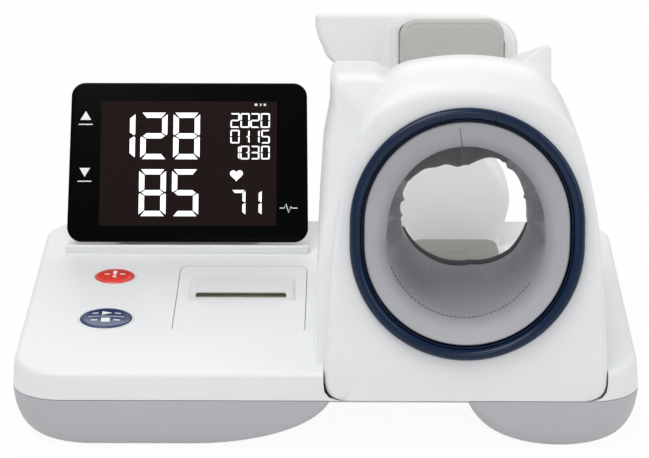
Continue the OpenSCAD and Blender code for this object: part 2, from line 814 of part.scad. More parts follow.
module door_hinge_pins() {
    color(steel) for (x = knuckle_x) rod_x(x - pin_l / 2, x + pin_l / 2, hinge_yz[0], hinge_yz[1], pin_r);
}

bay_x0 = door_x - 50;
bay_x1 = door_x + 50;
bay_y0 = -half_d + 89;
bay_y1 = -half_d + 230;
bay_floor = 19;
bay_t = 2;
roll_y = -half_d + 120;
roll_z = bay_floor + bay_t + 2.5 + roll_d / 2;

// Middle of the door's hinge, as Y and Z of the whole unit, and the room its rear part swings in.
hinge_yz = [hinge_y + hinge_drop * sin(deck_slope), deck_z(hinge_y) - hinge_drop * cos(deck_slope)];
post_r = hinge_drop - door_t - fit;
post_t = 4;
tail_r = norm([door_l - (deck_v(hinge_y) - door_v0), hinge_drop]) + 2 * fit;

module tail_room() {
    intersection() {
        rod_x(bay_x0 - 1, bay_x1 + 1, hinge_yz[0], hinge_yz[1], tail_r);
        block(bay_x0 - 1, bay_x1 + 1, hinge_yz[0] - post_r, bay_y1 - bay_t, bay_floor, 120);
    }
}

module hinge_post(x) {
    block(x - post_t / 2, x + post_t / 2, hinge_yz[0] - 2 * post_r, hinge_yz[0] + post_r, bay_floor + 1,
        hinge_yz[1]);
    rod_x(x - post_t / 2, x + post_t / 2, hinge_yz[0], hinge_yz[1], post_r);
}

module paper_bay() {
    post_dx = knuckle_w / 2 + fit + post_t / 2;
    color(dark_plastic) difference() {
        union() {
            intersection() {
                difference() {
                    block(bay_x0, bay_x1, bay_y0, bay_y1, bay_floor, 90);
                    block(bay_x0 + bay_t, bay_x1 - bay_t, bay_y0 + bay_t, bay_y1 - bay_t, bay_floor + bay_t,
                        91);
                    tail_room();
                }
                deck() block(-300, 300, 0, 300, -80, -door_t - 0.5);
            }
            block(door_x - roll_w / 2, door_x + roll_w / 2, roll_y - 14, roll_y + 14, bay_floor + 1,
                roll_z - 11);
            for (x = knuckle_x) for (s = [-1, 1]) hinge_post(x + s * post_dx);
            for (x = [bay_x0 + 8, bay_x0 + 28]) for (y = [bay_y0 + 8, bay_y1 - 8])
                translate([x, y, pod_floor + seat]) cylinder(h = bay_floor - pod_floor - seat + 0.5, r = 3);
        }
        rod_x(door_x - roll_w / 2 - 1, door_x + roll_w / 2 + 1, roll_y, roll_z, roll_d / 2 + fit);
        for (x = knuckle_x) rod_x(x - pin_l / 2 - 0.1, x + pin_l / 2 + 0.1, hinge_yz[0], hinge_yz[1],
            pin_r + 0.02);
    }
}

module paper_roll() {
    color([0.96, 0.96, 0.95]) difference() {
        rod_x(door_x - roll_w / 2 + 0.5, door_x + roll_w / 2 - 0.5, roll_y, roll_z, roll_d / 2);
        rod_x(door_x - roll_w / 2 - 1, door_x + roll_w / 2 + 1, roll_y, roll_z, 6.2);
    }
}

gear_m = 0.8;
platen_n = 16;
idler_n = 20;
pinion_n = 12;
mesh_gap = 0.1;
train_angle = -60;
platen_y = -half_d + 172;
platen_z = 56;
platen_r = 5;
shaft_r = 2;
frame_z0 = bay_floor + bay_t + seat;
frame_x0 = door_x - 38;
frame_x1 = door_x + 38;
gear_x0 = frame_x0 - 5.2;
gear_w = 4;
idler_d = gear_m * (platen_n + idler_n) / 2 + mesh_gap;
pinion_d = gear_m * (idler_n + pinion_n) / 2 + mesh_gap;
idler_yz = [platen_y + idler_d * cos(train_angle), platen_z + idler_d * sin(train_angle)];
pinion_yz = idler_yz + pinion_d * [cos(train_angle), sin(train_angle)];

// Gear outline with teeth narrower than half the pitch; one tooth points along a0.
function gear_points(n, a0) = let (
    rp = gear_m * n / 2, root = rp - 1.25 * gear_m, tip = rp + 0.8 * gear_m, p = 360 / n)
    [for (i = [0:n - 1]) for (q = [[root, -0.29], [rp, -0.19], [tip, -0.09], [tip, 0.09], [rp, 0.19],
        [root, 0.29]])
        let (a = a0 + (i + q[1]) * p) [q[0] * cos(a), q[0] * sin(a)]];

module gear(n, a0, centre, bore) {
    translate([0, centre[0], centre[1]]) across(gear_x0, gear_x0 + gear_w) difference() {
        polygon(gear_points(n, a0));
        circle(r = bore);
    }
}

module printer_frame() {
    color(dark_plastic) difference() {
        union() {
            for (x = [frame_x0, frame_x1 - 2]) across(x, x + 2)
                polygon([for (p = [[-18, frame_z0], [30, frame_z0], [30, 45], [14, platen_z + 5],
                    [-12, platen_z + 5],
                    [-18, platen_z - 2]]) [platen_y + p[0], p[1]]]);
            for (y = [[platen_y - 18, platen_y - 13], [platen_y + 23, platen_y + 30]])
                block(frame_x0, frame_x1, y[0], y[1], frame_z0, frame_z0 + 2);
            rod_x(gear_x0 - 0.8, frame_x0 + 1, idler_yz[0], idler_yz[1], shaft_r);
        }
        rod_x(frame_x0 - 1, frame_x1 + 1, platen_y, platen_z, shaft_r + running);
        rod_x(frame_x0 - 1, frame_x0 + 3, pinion_yz[0], pinion_yz[1], 1.6);
    }
}

module platen_roller() {
    color(black) union() {
        rod_x(frame_x0 + 3, frame_x1 - 3, platen_y, platen_z, platen_r);
        rod_x(gear_x0 - 0.5, frame_x1 + 1, platen_y, platen_z, shaft_r);
    }
}

module platen_gear() {
    color(cream) gear(platen_n, train_angle, [platen_y, platen_z], shaft_r + 0.01);
}

module idler_gear() {
    color(cream) gear(idler_n, train_angle + 180 / idler_n, idler_yz, shaft_r + running);
}

module motor_pinion() {
    color(steel) union() {
        gear(pinion_n, train_angle + 180, pinion_yz, 0.9);
        rod_x(gear_x0, frame_x0 + 5, pinion_yz[0], pinion_yz[1], 1);
    }
}

module printer_motor() {
    color(steel) difference() {
        rod_x(frame_x0 + 2 + seat, frame_x0 + 30, pinion_yz[0], pinion_yz[1], 10);
        rod_x(frame_x0 + 1, frame_x0 + 6, pinion_yz[0], pinion_yz[1], 1 + running);
    }
}

module print_head() {
    color(steel)
        block(frame_x0 + 2.1, frame_x1 - 2.1, platen_y - platen_r - 4.3, platen_y - platen_r - 0.3, 44,
            platen_z + 4);
}

// ---- display --------------------------------------------------------------------------

display_y = -half_d + 255;
display_z = deck_z(display_y) + 10.4;
display_edge = 12;

// Frame of the leaning display: X across, Y into its back, Z up its face.
module display(w = 0, u = 0) {
    translate([display_x, display_y, display_z]) rotate([-display_lean, 0, 0])
        translate([0, w, u]) children();
}

function display_point(w, u) = [display_y + w * cos(display_lean) + u * sin(display_lean),
    display_z + u * cos(display_lean) - w * sin(display_lean)];

function display_outline(o) = let (b = display_w / 2, t = (display_w - display_taper) / 2, r = display_edge)
    concat(arc([b - r, r], r - o, -90, 0, 6), arc([t - r, display_h - r], r - o, 0, 90, 6),
        arc([r - t, display_h - r], r - o, 90, 180, 6), arc([r - b, r], r - o, 180, 270, 6));

glass_t = 2;
bezel_t = 4;
lcd_u = display_h / 2 - 1.5;

module lcd_outline(grow) {
    translate([-lcd_w / 2 - grow, lcd_u - lcd_h / 2 - grow]) square([lcd_w + 2 * grow, lcd_h + 2 * grow]);
}

module display_front() {
    color(black) display() difference() {
        through(0, bezel_t) polygon(display_outline(0));
        through(-1, bezel_t + 1) lcd_outline(0);
        through(glass_t - 1.4, bezel_t + 1) lcd_outline(2);
    }
}

module display_window() {
    color(lcd_dark) display() union() {
        through(0.3, glass_t - 1.4 + 0.02) lcd_outline(-0.2);
        through(glass_t - 1.4 + 0.02, glass_t + 0.6) lcd_outline(1.8);
    }
}

module lcd_panel() {
    color(lcd_dark) display() through(glass_t + 0.8, bezel_t + 0.6) lcd_outline(1.5);
}

module display_board() {
    color(board_green) display() union() {
        through(bezel_t + 0.8, bezel_t + 2.4) lcd_outline(4);
        for (x = [-60, 60]) for (u = [35, 110]) translate([x, 0, u]) through(bezel_t + 2.3, display_t - 2.6)
            circle(r = 2.5);
    }
}

module display_back() {
    color(white) display() difference() {
        intersection() {
            through(bezel_t + 0.2, display_t) polygon(display_outline(0.4));
            across(-display_w, display_w) polygon([[0, -1], [bezel_t + 4, -1], [display_t, 4],
                [display_t, display_h - 6],
                [bezel_t + 4, display_h + 1], [0, display_h + 1]]);
        }
        through(bezel_t - 1, display_t - 2.4) polygon(display_outline(3.2));
        for (p = display_holes) translate([p[0], 0, p[1]]) through(0, display_t + 2)
            circle(r = screw_r + 0.1);
    }
}

display_holes = [[-70, 14], [70, 14]];
display_bolts = [for (s = [-1, 1]) [display_x + 80 * s, display_y + 19]];
foot_x0 = display_x - display_w / 2 - 1;
foot_x1 = display_x + display_w / 2 + 1;
foot_y0 = display_y - 1.5;

// Low plinth and strut that carry the display; its front is the step below the display.
module display_foot() {
    low = display_point(display_t + seat, 2);
    high = display_point(display_t + seat, 64);
    color(white) difference() {
        union() {
            across(foot_x0, foot_x1) polygon([[foot_y0, deck_z(foot_y0) + seat], [foot_y0, display_z - 5.8],
                [foot_y0 + 1.5, display_z - 4.4], [display_y + 4, display_z - 4],
                [low[0], low[1] - 1.8], [low[0] + 6, low[1] - 1],
                    [low[0] + 12, deck_z(low[0] + 12) + seat]]);
            across(display_x - 60, display_x + 60) polygon([[low[0] - 1, deck_z(low[0]) + seat + 0.4],
                [low[0], low[1]], high,
                [high[0] + 5, high[1] - 2], [half_d - 13, deck_z(half_d - 13) + seat]]);
        }
        across(display_x - 57.4, display_x + 57.4) polygon([[low[0] + 3, deck_z(low[0]) - 4],
            [low[0] + 2.4, low[1] - 1],
            [high[0] + 1, high[1] - 8], [half_d - 17, deck_z(half_d - 17) - 4]]);
        on_deck(display_x, display_y + 31) translate([0, 0, -10]) cylinder(h = 20, r = 7);
        for (p = display_bolts) translate([p[0], p[1], 60]) cylinder(h = 23.2, r = screw_r + 0.1);
    }
}

module display_screws() {
    z = deck_z(display_bolts[0][1]) - wall;
    color(steel) at_each(display_bolts) union() {
        translate([0, 0, z - 2.4]) cylinder(h = 2, r = head_r);
        translate([0, 0, z - 0.5]) cylinder(h = 7, r = screw_r);
    }
}

// ---- armrest tower --------------------------------------------------------------------

tower_y0 = half_d - 68;
tower_back = half_d - 3;
frame_proud = 7;
head_y = half_d - 22;
head_x0 = tunnel_x - 119.5;
head_x1 = tunnel_x + 53.5;
crown_fall = 16;

function tower_face(o) = bezier([tower_y0 + o, 60], [tower_y0 + 2 + o, 130], [head_y - 10 + o, 170],
    [head_y + o, tower_top + 2 - 1.3 * o], 8);

function tower_rear(o) = bezier([tower_back - o, tower_top + 2 - crown_fall - 1.3 * o],
    [tower_back - o, 190],
    [half_d - 10 - o, 150], [half_d - 18 - o, 60], 8);

function tower_outline(o) = let (w = tunnel_x - 1.5)
    concat([[w - 42 + o, 60], [w - 42 + o, 88]],
        bezier([w - 50 + o, 108], [w - 50 + o, 135], [w - 26 + o, 160], [w - 26 + o, 182], 4),
        [[w - 62 + o, 208 + o / 2], [head_x0 + 12.5 + o, 231 + o / 2], [head_x0 + 3 + o, 250],
            [head_x0 + o, 261]],
        arc([head_x0 + 5, tower_top - 5], 5 - o, 180, 90, 4),
        bezier([head_x1 - 40, tower_top - o], [head_x1 - 14, tower_top - o], [head_x1 - o, tower_top - 11],
            [head_x1 - o, tower_top - 23], 6),
        [[head_x1 - o, 222]],
        bezier([w + 51 - o, 212], [w + 27 - o, 196], [w + 15 - o, 186], [w + 21 - o, 163], 4),
        bezier([w + 27 - o, 154], [w + 43 - o, 142], [w + 49.5 - o, 128], [w + 49.5 - o, 115], 4),
        [[w + 41 - o, 88], [w + 41 - o, 60]]);

module tower(o, z0) {
    intersection() {
        through(60, half_d) polygon(tower_outline(o));
        across(-40, 200) polygon(concat(tower_face(o), tower_rear(o)));
        deck() block(-300, 300, 0, 500, z0, 400);
    }
}

module tower_half(front) {
    mid = [for (p = tower_face(0)) [p[0] + 9 + (front ? 0 : fit), p[1]]];
    if (front) {
        across(-60, 220) polygon(concat([[0, 0], [0, 300]], [for (i = [len(mid) - 1:-1:0]) mid[i]],
            [[tower_y0 + 9, 0]]));
    } else {
        across(-60, 220) polygon(concat(mid, [[300, tower_top + 2], [300, 0], [tower_y0 + 9 + fit, 0]]));
    }
}

module armrest_front() {
    color(light_grey) difference() {
        intersection() {
            difference() {
                tower(0, seat);
                tower(wall, -1);
            }
            tower_half(true);
        }
        for (p = pad_holes) translate([p[0], tower_y0, p[1]]) rotate([-90, 0, 0]) cylinder(h = 80, r = 1.6);
    }
}

module armrest_back() {
    color(light_grey) difference() {
        intersection() {
            difference() {
                tower(0, seat);
                tower(wall, -1);
            }
            tower_half(false);
        }
        for (z = [120, 235]) translate([tunnel_x, tower_y0 + 20, z]) rotate([-90, 0, 0])
            cylinder(h = 80, r = screw_r + 0.2);
    }
}

pad_x = tunnel_x - 3.5;
pad_z = tower_top - 3 - pad_h / 2;
frame_x = tunnel_x - 1.1;
frame_w = 109.2;
pad_t = 10;
pad_holes = [[pad_x - 28, pad_z], [pad_x + 28, pad_z]];
frame_lean = 9.5;
pad_y = head_y - 6.9;

// Frame of the upper pad: X across, Y up the pad, Z out towards the tunnel.
module pad_face() {
    translate([0, pad_y, pad_z]) rotate([90 - frame_lean, 0, 0]) children();
}

module pad_frame() {
    color(light_grey) difference() {
        intersection() {
            pad_face() translate([frame_x, 0, 0]) linear_extrude(height = frame_proud)
                polygon(oval(20, frame_w / 2 - 20, pad_h / 2 + 5 - 20, 6));
            through(0, half_d) polygon(tower_outline(0.4));
        }
        pad_face() translate([pad_x, 0, 2.2]) linear_extrude(height = 40)
            polygon(oval(15, pad_w / 2 + 0.8 - 15, pad_h / 2 + 0.8 - 15, 6));
        tower(-0.3, -1);
    }
}

module upper_pad() {
    color(pad_grey) pad_face() translate([pad_x, 0, 2.5]) cushion(pad_w, pad_h, pad_t, 15, 2.5);
}

elbow_x = tunnel_x - 1.5;
elbow_y = -half_d + 235;

module elbow_frame() {
    on_deck(elbow_x, elbow_y) children();
}

module elbow_tray() {
    color(light_grey) elbow_frame() difference() {
        translate([0, 0, seat]) linear_extrude(height = 4.4)
            polygon(oval(12, elbow_w / 2 + 5 - 12, elbow_l / 2 + 3.5 - 12, 6));
        translate([0, 0, 2.6]) linear_extrude(height = 10)
            polygon(oval(10, elbow_w / 2 + 0.7 - 10, elbow_l / 2 + 0.7 - 10, 6));
    }
}

module elbow_pad() {
    color(elbow_grey) elbow_frame() translate([0, 0, 2.9]) cushion(elbow_w, elbow_l, 9, 10, 2.5);
}

armrest_bolts = [for (s = [-1, 1]) [tunnel_x + 0.5 + 19 * s, half_d - 42]];

module armrest_bracket() {
    color(steel) difference() {
        union() {
            on_deck(tunnel_x, half_d - 54) translate([-26, 0, seat]) cube([52, 24, 2]);
            block(tunnel_x - 18, tunnel_x + 18, tower_y - 15.5, tower_y - 13.3, deck_z(tower_y) + 1, 150);
            block(tunnel_x - 8, tunnel_x + 8, tower_y - 15, tower_y, 116, 124);
        }
        at_each(armrest_bolts) translate([0, 0, 60]) cylinder(h = 60, r = screw_r + 0.1);
    }
}

tower_y = half_d - 17;

module armrest_screws() {
    zb = deck_z(armrest_bolts[0][1]) - wall - 2.4;
    color(steel) union() {
        at_each(armrest_bolts) union() {
            translate([0, 0, zb]) cylinder(h = 2, r = head_r);
            translate([0, 0, zb + 1.9]) cylinder(h = 10, r = screw_r);
        }
    }
}

// ---- inside the base ------------------------------------------------------------------

pod_floor = foot_h + wall;

module main_board() {
    color(board_green) union() {
        translate([-half_w + 53, -half_d + 28, pod_floor]) {
            block(0, 66, 0, 184, 6, 7.6);
            for (x = [6, 60]) for (y = [6, 178]) translate([x, y, seat]) cylinder(h = 6, r = 3);
            block(12, 32, 80, 100, 7.5, 10.5);
            block(17, 42, 140, 160, 7.5, 17);
        }
    }
}

module power_supply() {
    color(steel) block(-half_w + 53, -half_w + 117, half_d - 102, half_d - 60, pod_floor + seat,
        pod_floor + 30);
}

inlet_x = -half_w + 77;
inlet_w = 47;
inlet_z0 = parting_z + 3.5;
inlet_z1 = parting_z + 26.5;
rocker_x = inlet_x + 42;
rocker_w = 15;
port_x = inlet_x + 84;
port_w = 40;

module power_inlet() {
    color(black) difference() {
        through(half_d - 26, half_d) polygon(round_box(inlet_x - inlet_w / 2 + 0.2,
            inlet_x + inlet_w / 2 - 0.2,
            inlet_z0 + 0.2, inlet_z1 - 0.2, 1.8, 3));
        through(half_d - 18, half_d + 1) polygon(round_box(inlet_x - 12, inlet_x + 12, inlet_z0 + 3.5,
            inlet_z1 - 3.5, 3, 3));
    }
    color(steel) for (x = [-7, 0, 7]) block(inlet_x + x - 1, inlet_x + x + 1, half_d - 18.5, half_d - 4,
        (inlet_z0 + inlet_z1) / 2 - 2, (inlet_z0 + inlet_z1) / 2 + 2);
}

rocker_axis_y = half_d - 5;
rocker_nose_y = 5.6;
rocker_nose_z = 8.2;
rocker_tilt = 7;
rocker_mid_z = (inlet_z0 + inlet_z1) / 2;

module switch_housing() {
    color(black) difference() {
        through(half_d - 20, half_d) polygon(round_box(rocker_x - rocker_w / 2 + 0.2,
            rocker_x + rocker_w / 2 - 0.2,
            inlet_z0 + 0.2, inlet_z1 - 0.2, 1.3, 3));
        through(half_d - 13, half_d + 1) translate([rocker_x - 5.5, rocker_mid_z - 9.5]) square([11, 19]);
        rod_x(rocker_x - 6.6, rocker_x + 6.6, rocker_axis_y, rocker_mid_z, 1.2 + running);
    }
}

module rocker_switch() {
    nose = [rocker_nose_y, rocker_nose_z];
    color(dark_plastic) union() {
        translate([0, rocker_axis_y, rocker_mid_z]) rotate([rocker_tilt, 0, 0]) across(rocker_x - 5.1,
            rocker_x + 5.1)
            polygon([[-4, -4], [3.4, -8.4], [nose[0], -nose[1]], [4.2, 0], nose, [3.4, 8.4], [-4, 4]]);
        rod_x(rocker_x - 6.3, rocker_x + 6.3, rocker_axis_y, rocker_mid_z, 1.2);
    }
}

module port_plate() {
    color(steel) difference() {
        through(half_d - 8, half_d - 0.2) polygon(round_box(port_x - port_w / 2 + 0.2,
            port_x + port_w / 2 - 0.2,
            inlet_z0 + 2.2, inlet_z1 - 4.2, 1.3, 3));
        through(half_d - 6, half_d + 1) translate([port_x - 15, inlet_z0 + 7.5]) square([13, 5.5]);
        through(half_d - 6, half_d + 1) translate([port_x + 4, inlet_z0 + 6]) square([10, 8]);
    }
}

pump_x0 = -half_w + 125;
pump_x1 = pump_x0 + 74;
pump_y = half_d - 72;
pump_r = 15;
pump_z = pod_floor + 3 + pump_r;

module air_pump() {
    color(steel) union() {
        rod_x(pump_x0, pump_x0 + 50, pump_y, pump_z, pump_r);
        rod_x(pump_x0 + 49.9, pump_x0 + 68, pump_y, pump_z, 11);
        rod_x(pump_x0 + 67.9, pump_x1, pump_y, pump_z, 2.4);
        for (x = [pump_x0 + 6, pump_x0 + 22])
            block(x, x + 8, pump_y - 12, pump_y + 12, pod_floor + seat, pump_z - 6);
    }
}

module release_valve() {
    color(dark_plastic) union() {
        block(pump_x0, pump_x0 + 29, half_d - 46, half_d - 28, pod_floor + seat, pod_floor + 20);
        rod_x(pump_x0 + 28.9, pump_x0 + 37, half_d - 37, pod_floor + 12, 2.4);
    }
}

// Hose route from the pump's spout to the drum's underside, kept clear of the paper bay.
hose_r = 3.5;
hose_notch_z = 56;
hose_route = [[pump_x1 + 0.4, pump_y, pump_z], [pump_x1 + 22, pump_y, pump_z + 1],
    [pump_x1 + 32, pump_y - 4, 31],
    [pump_x1 + 42, -half_d + 228, 47],
    [10, -half_d + 188, 49], [40, -half_d + 138, 49], [74, -half_d + 108, 50], [92, -half_d + 100, 52]];

// Smooth curve through the route: four steps from each point to the next.
function hose_point(i, t) = let (
    n = len(hose_route) - 1,
    a = hose_route[max(0, i - 1)], b = hose_route[i], c = hose_route[min(n, i + 1)],
        d = hose_route[min(n, i + 2)])
    0.5 * ((2 * b) + (c - a) * t + (2 * a - 5 * b + 4 * c - d) * t * t + (3 * b - a - 3 * c + d) * t * t * t);

hose_steps = 4;
hose_sides = 8;

module air_hose() {
    curve = concat([for (i = [0:len(hose_route) - 2]) for (k = [0:hose_steps - 1]) hose_point(i,
        k / hose_steps)],
        [hose_route[len(hose_route) - 1]]);
    m = len(curve);
    n = hose_sides;
    points = [for (i = [0:m - 1]) let (
        along = curve[min(m - 1, i + 1)] - curve[max(0, i - 1)],
        side = cross(along, [0, 0, 1]) / norm(cross(along, [0, 0, 1])),
        over = cross(side, along) / norm(along))
        for (k = [0:n - 1]) curve[i] + hose_r * (cos(360 * k / n) * side + sin(360 * k / n) * over)];
    walls = [for (j = [0:m - 2]) for (i = [0:n - 1]) for (half = [0, 1])
        let (a = j * n + i, b = j * n + (i + 1) % n, c = a + n, d = b + n)
        half == 0 ? [a, b, c] : [b, d, c]];
    ends = concat([for (i = [1:n - 2]) [0, i + 1, i]],
        [for (i = [1:n - 2]) [(m - 1) * n, (m - 1) * n + i, (m - 1) * n + i + 1]]);
    color(dark_plastic) polyhedron(points = points, faces = concat(walls, ends), convexity = 8);
}

speaker_x = -half_w + 135;
speaker_y = -half_d + 56;
speaker_slots = [speaker_y - 8, speaker_y - 2, speaker_y + 4, speaker_y + 10];

module speaker() {
    color(black) translate([speaker_x, speaker_y, pod_floor + seat]) union() {
        cylinder(h = 4, r = 20);
        cylinder(h = 12, r = 11);
    }
}

// ---- drawing --------------------------------------------------------------------------

// Foremost point of the ring's bead and rearmost point of the rocker, so that the origin
// comes under the middle of the whole unit.
front_reach = face_y - (ring_proud - bead_r) * cos(tunnel_tilt)
    + (tunnel_u - ring_rise / 2 - ring_r + bead_r) * sin(tunnel_tilt) - bead_r;
rear_reach = rocker_axis_y + rocker_nose_y * cos(rocker_tilt) + rocker_nose_z * sin(rocker_tilt);

module centred() {
    translate([0, -(front_reach + rear_reach) / 2, 0]) children();
}

centred() lower_shell();
centred() top_cover();
centred() rubber_feet();
centred() base_screws();
centred() tunnel_front_shell();
centred() tunnel_rear_shell();
centred() cuff_drum();
centred() ring_body();
centred() ring_top_segment();
centred() cuff_liner();
centred() cuff_bladder();
centred() rear_collar();
centred() tunnel_screws();
centred() start_stop_button();
centred() emergency_button();
centred() start_button_rim();
centred() emergency_button_rim();
centred() start_button_spring();
centred() emergency_button_spring();
centred() key_board();
centred() key_switches();
centred() printer_door();
centred() door_hinge_pins();
centred() paper_bay();
centred() paper_roll();
centred() printer_frame();
centred() print_head();
centred() platen_roller();
centred() platen_gear();
centred() idler_gear();
centred() motor_pinion();
centred() printer_motor();
centred() display_front();
centred() display_window();
centred() lcd_panel();
centred() display_board();
centred() display_back();
centred() display_foot();
centred() display_screws();
centred() armrest_front();
centred() armrest_back();
centred() pad_frame();
centred() upper_pad();
centred() elbow_tray();
centred() elbow_pad();
centred() armrest_bracket();
centred() armrest_screws();
centred() main_board();
centred() power_supply();
centred() power_inlet();
centred() switch_housing();
centred() rocker_switch();
centred() air_pump();
centred() release_valve();
centred() air_hose();
centred() speaker();
centred() port_plate();
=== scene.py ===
"""Looks of a table-top, arm-in blood pressure monitor.

Sizes in the classes are millimetres of the unit's own drawing: X to the right, Y to the rear, Z up, with the
base's middle at Y = 0. `Drawing.place` turns them into metres of the shared frame.
"""

from __future__ import annotations

import logging
import math
from dataclasses import dataclass, field
from enum import Enum
from typing import Callable, Sequence

import bpy
import numpy as np
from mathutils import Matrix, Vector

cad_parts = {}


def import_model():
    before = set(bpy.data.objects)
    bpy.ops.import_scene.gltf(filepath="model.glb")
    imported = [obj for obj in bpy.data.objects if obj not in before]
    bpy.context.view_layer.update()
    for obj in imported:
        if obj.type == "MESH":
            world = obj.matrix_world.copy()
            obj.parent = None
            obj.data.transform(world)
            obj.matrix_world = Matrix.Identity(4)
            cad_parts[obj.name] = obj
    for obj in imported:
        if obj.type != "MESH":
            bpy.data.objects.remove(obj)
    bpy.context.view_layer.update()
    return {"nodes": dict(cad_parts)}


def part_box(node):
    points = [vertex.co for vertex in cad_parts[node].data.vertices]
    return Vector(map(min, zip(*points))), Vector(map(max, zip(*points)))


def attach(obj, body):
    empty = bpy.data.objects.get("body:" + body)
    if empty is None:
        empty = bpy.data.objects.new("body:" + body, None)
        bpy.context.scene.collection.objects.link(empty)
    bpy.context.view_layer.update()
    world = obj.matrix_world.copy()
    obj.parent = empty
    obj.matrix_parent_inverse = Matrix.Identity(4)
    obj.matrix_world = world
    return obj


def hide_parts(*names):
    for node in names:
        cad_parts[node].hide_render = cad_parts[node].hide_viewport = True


LOG = logging.getLogger("monitor")
MM = 0.001
BASE = "base"

# Sizes that several sub-assemblies share, in millimetres and degrees of the drawing.
HALF_DEPTH = 168.0
DECK_FRONT_Z = 62.0
DECK_SLOPE = 3.5
TUNNEL_X = 108.5
TUNNEL_TILT = 10.0
TUNNEL_AXIS = 103.0
FACE_FOOT_Z = 68.0
DISPLAY_LEAN = 29.0


# ---- frames and meshes ------------------------------------------------------------------


@dataclass(frozen=True)
class Axes:
    """A local frame in the drawing: an origin and a turn about X in degrees."""

    origin: tuple[float, float, float]
    turn: float = 0.0

    def at(self, x: np.ndarray | float, y: np.ndarray | float, z: np.ndarray | float) -> np.ndarray:
        """Carries local coordinates into the drawing.

        Args:
            x: Across, unchanged by the turn.
            y: Along the frame's second axis.
            z: Along the frame's third axis.

        Returns:
            Points of shape (..., 3): origin + x X + y (0, cos, sin) + z (0, -sin, cos).
        """
        x, y, z = np.broadcast_arrays(np.asarray(x, float), np.asarray(y, float), np.asarray(z, float))
        c, s = math.cos(math.radians(self.turn)), math.sin(math.radians(self.turn))
        return np.stack([self.origin[0] + x, self.origin[1] + y * c - z * s, self.origin[2] + y * s + z * c], -1)

    def face(self, x: np.ndarray, z: np.ndarray, y: float) -> np.ndarray:
        """The same points with the second axis last, for outlines drawn along the first and third."""
        return self.at(x, y, z)


UPRIGHT = Axes((0.0, 0.0, 0.0))
DECK = Axes((0.0, -HALF_DEPTH, DECK_FRONT_Z), DECK_SLOPE)
TUNNEL = Axes((TUNNEL_X, -166.0, FACE_FOOT_Z), -TUNNEL_TILT)
PANEL = Axes((-119.4, 87.0, 88.0), -DISPLAY_LEAN)
PAD = Axes((105.0, 139.1, 238.0), 80.5)


class Drawing:
    """The drawing's place in the shared frame."""

    shift: float = 0.0

    @classmethod
    def settle(cls) -> None:
        """Reads from the lower shell how far the drawing is shifted along Y."""
        cls.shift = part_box("lower_shell")[0].y + HALF_DEPTH * MM

    @classmethod
    def place(cls, points: np.ndarray) -> np.ndarray:
        """Turns drawing millimetres into metres of the shared frame."""
        out = np.array(points, float) * MM
        out[..., 1] += cls.shift
        return out


def deck_height(y: np.ndarray | float) -> np.ndarray | float:
    """Height of the sloping deck over depth y: 62 at the front edge, rising by 3.5 degrees."""
    return DECK_FRONT_Z + (np.asarray(y) + HALF_DEPTH) * math.tan(math.radians(DECK_SLOPE))


def deck_run(y: np.ndarray | float) -> np.ndarray | float:
    """Distance up the deck, from its front edge, of the point over depth y."""
    return (np.asarray(y) + HALF_DEPTH) / math.cos(math.radians(DECK_SLOPE))


def round_axis(radius: np.ndarray, th: np.ndarray, w: np.ndarray) -> np.ndarray:
    """Points round the tunnel's axis: a radius at angle th and depth w."""
    return TUNNEL.at(radius * np.cos(th), w, TUNNEL_AXIS + radius * np.sin(th))


def smooth(t: np.ndarray | float) -> np.ndarray:
    """Smoothstep: 0 below 0, 1 above 1, 3t^2 - 2t^3 between."""
    t = np.clip(np.asarray(t, float), 0.0, 1.0)
    return t * t * (3.0 - 2.0 * t)


def bump(t: np.ndarray, centre: float, width: float) -> np.ndarray:
    """A bell of height 1 at centre: exp(-((t - centre) / width)^2)."""
    return np.exp(-(((t - centre) / width) ** 2))


def bezier(a: Sequence[float], b: Sequence[float], c: Sequence[float], d: Sequence[float], n: int) -> np.ndarray:
    """n + 1 points of the cubic curve with end points a, d and handles b, c."""
    t = np.linspace(0.0, 1.0, n + 1)[:, None]
    a, b, c, d = (np.asarray(p, float) for p in (a, b, c, d))
    return (1 - t) ** 3 * a + 3 * (1 - t) ** 2 * t * b + 3 * (1 - t) * t**2 * c + t**3 * d


def arc(cx: float, cy: float, r: float, a0: float, a1: float, n: int) -> np.ndarray:
    """n + 1 points of a circle's arc from a0 to a1 degrees."""
    a = np.radians(np.linspace(a0, a1, n + 1))
    return np.stack([cx + r * np.cos(a), cy + r * np.sin(a)], -1)


def round_rect(x0: float, x1: float, y0: float, y1: float, r: float | Sequence[float], n: int = 10) -> np.ndarray:
    """Round-cornered rectangle, counter-clockwise from the right side's upper corner.

    Args:
        x0: Left. x1: Right. y0: Bottom. y1: Top.
        r: One radius, or four for the corners upper right, upper left, lower left, lower right.
        n: Steps in each corner.

    Returns:
        4 (n + 1) points.
    """
    q = [r] * 4 if np.isscalar(r) else list(r)
    q = [max(v, 1e-3) for v in q]
    return np.concatenate([
        arc(x1 - q[0], y1 - q[0], q[0], 0, 90, n), arc(x0 + q[1], y1 - q[1], q[1], 90, 180, n),
        arc(x0 + q[2], y0 + q[2], q[2], 180, 270, n), arc(x1 - q[3], y0 + q[3], q[3], 270, 360, n)])


def boxed(x0: float, x1: float, y0: float, y1: float) -> np.ndarray:
    """The four corners of a box, counter-clockwise."""
    return np.array([(x0, y0), (x1, y0), (x1, y1), (x0, y1)])


def both_sides(half: list[tuple[float, float]]) -> list[tuple[float, float]]:
    """The right half's points and then the left's from the top down; a point on the middle isn't repeated."""
    return half + [(-x, u) for x, u in half[::-1] if x]


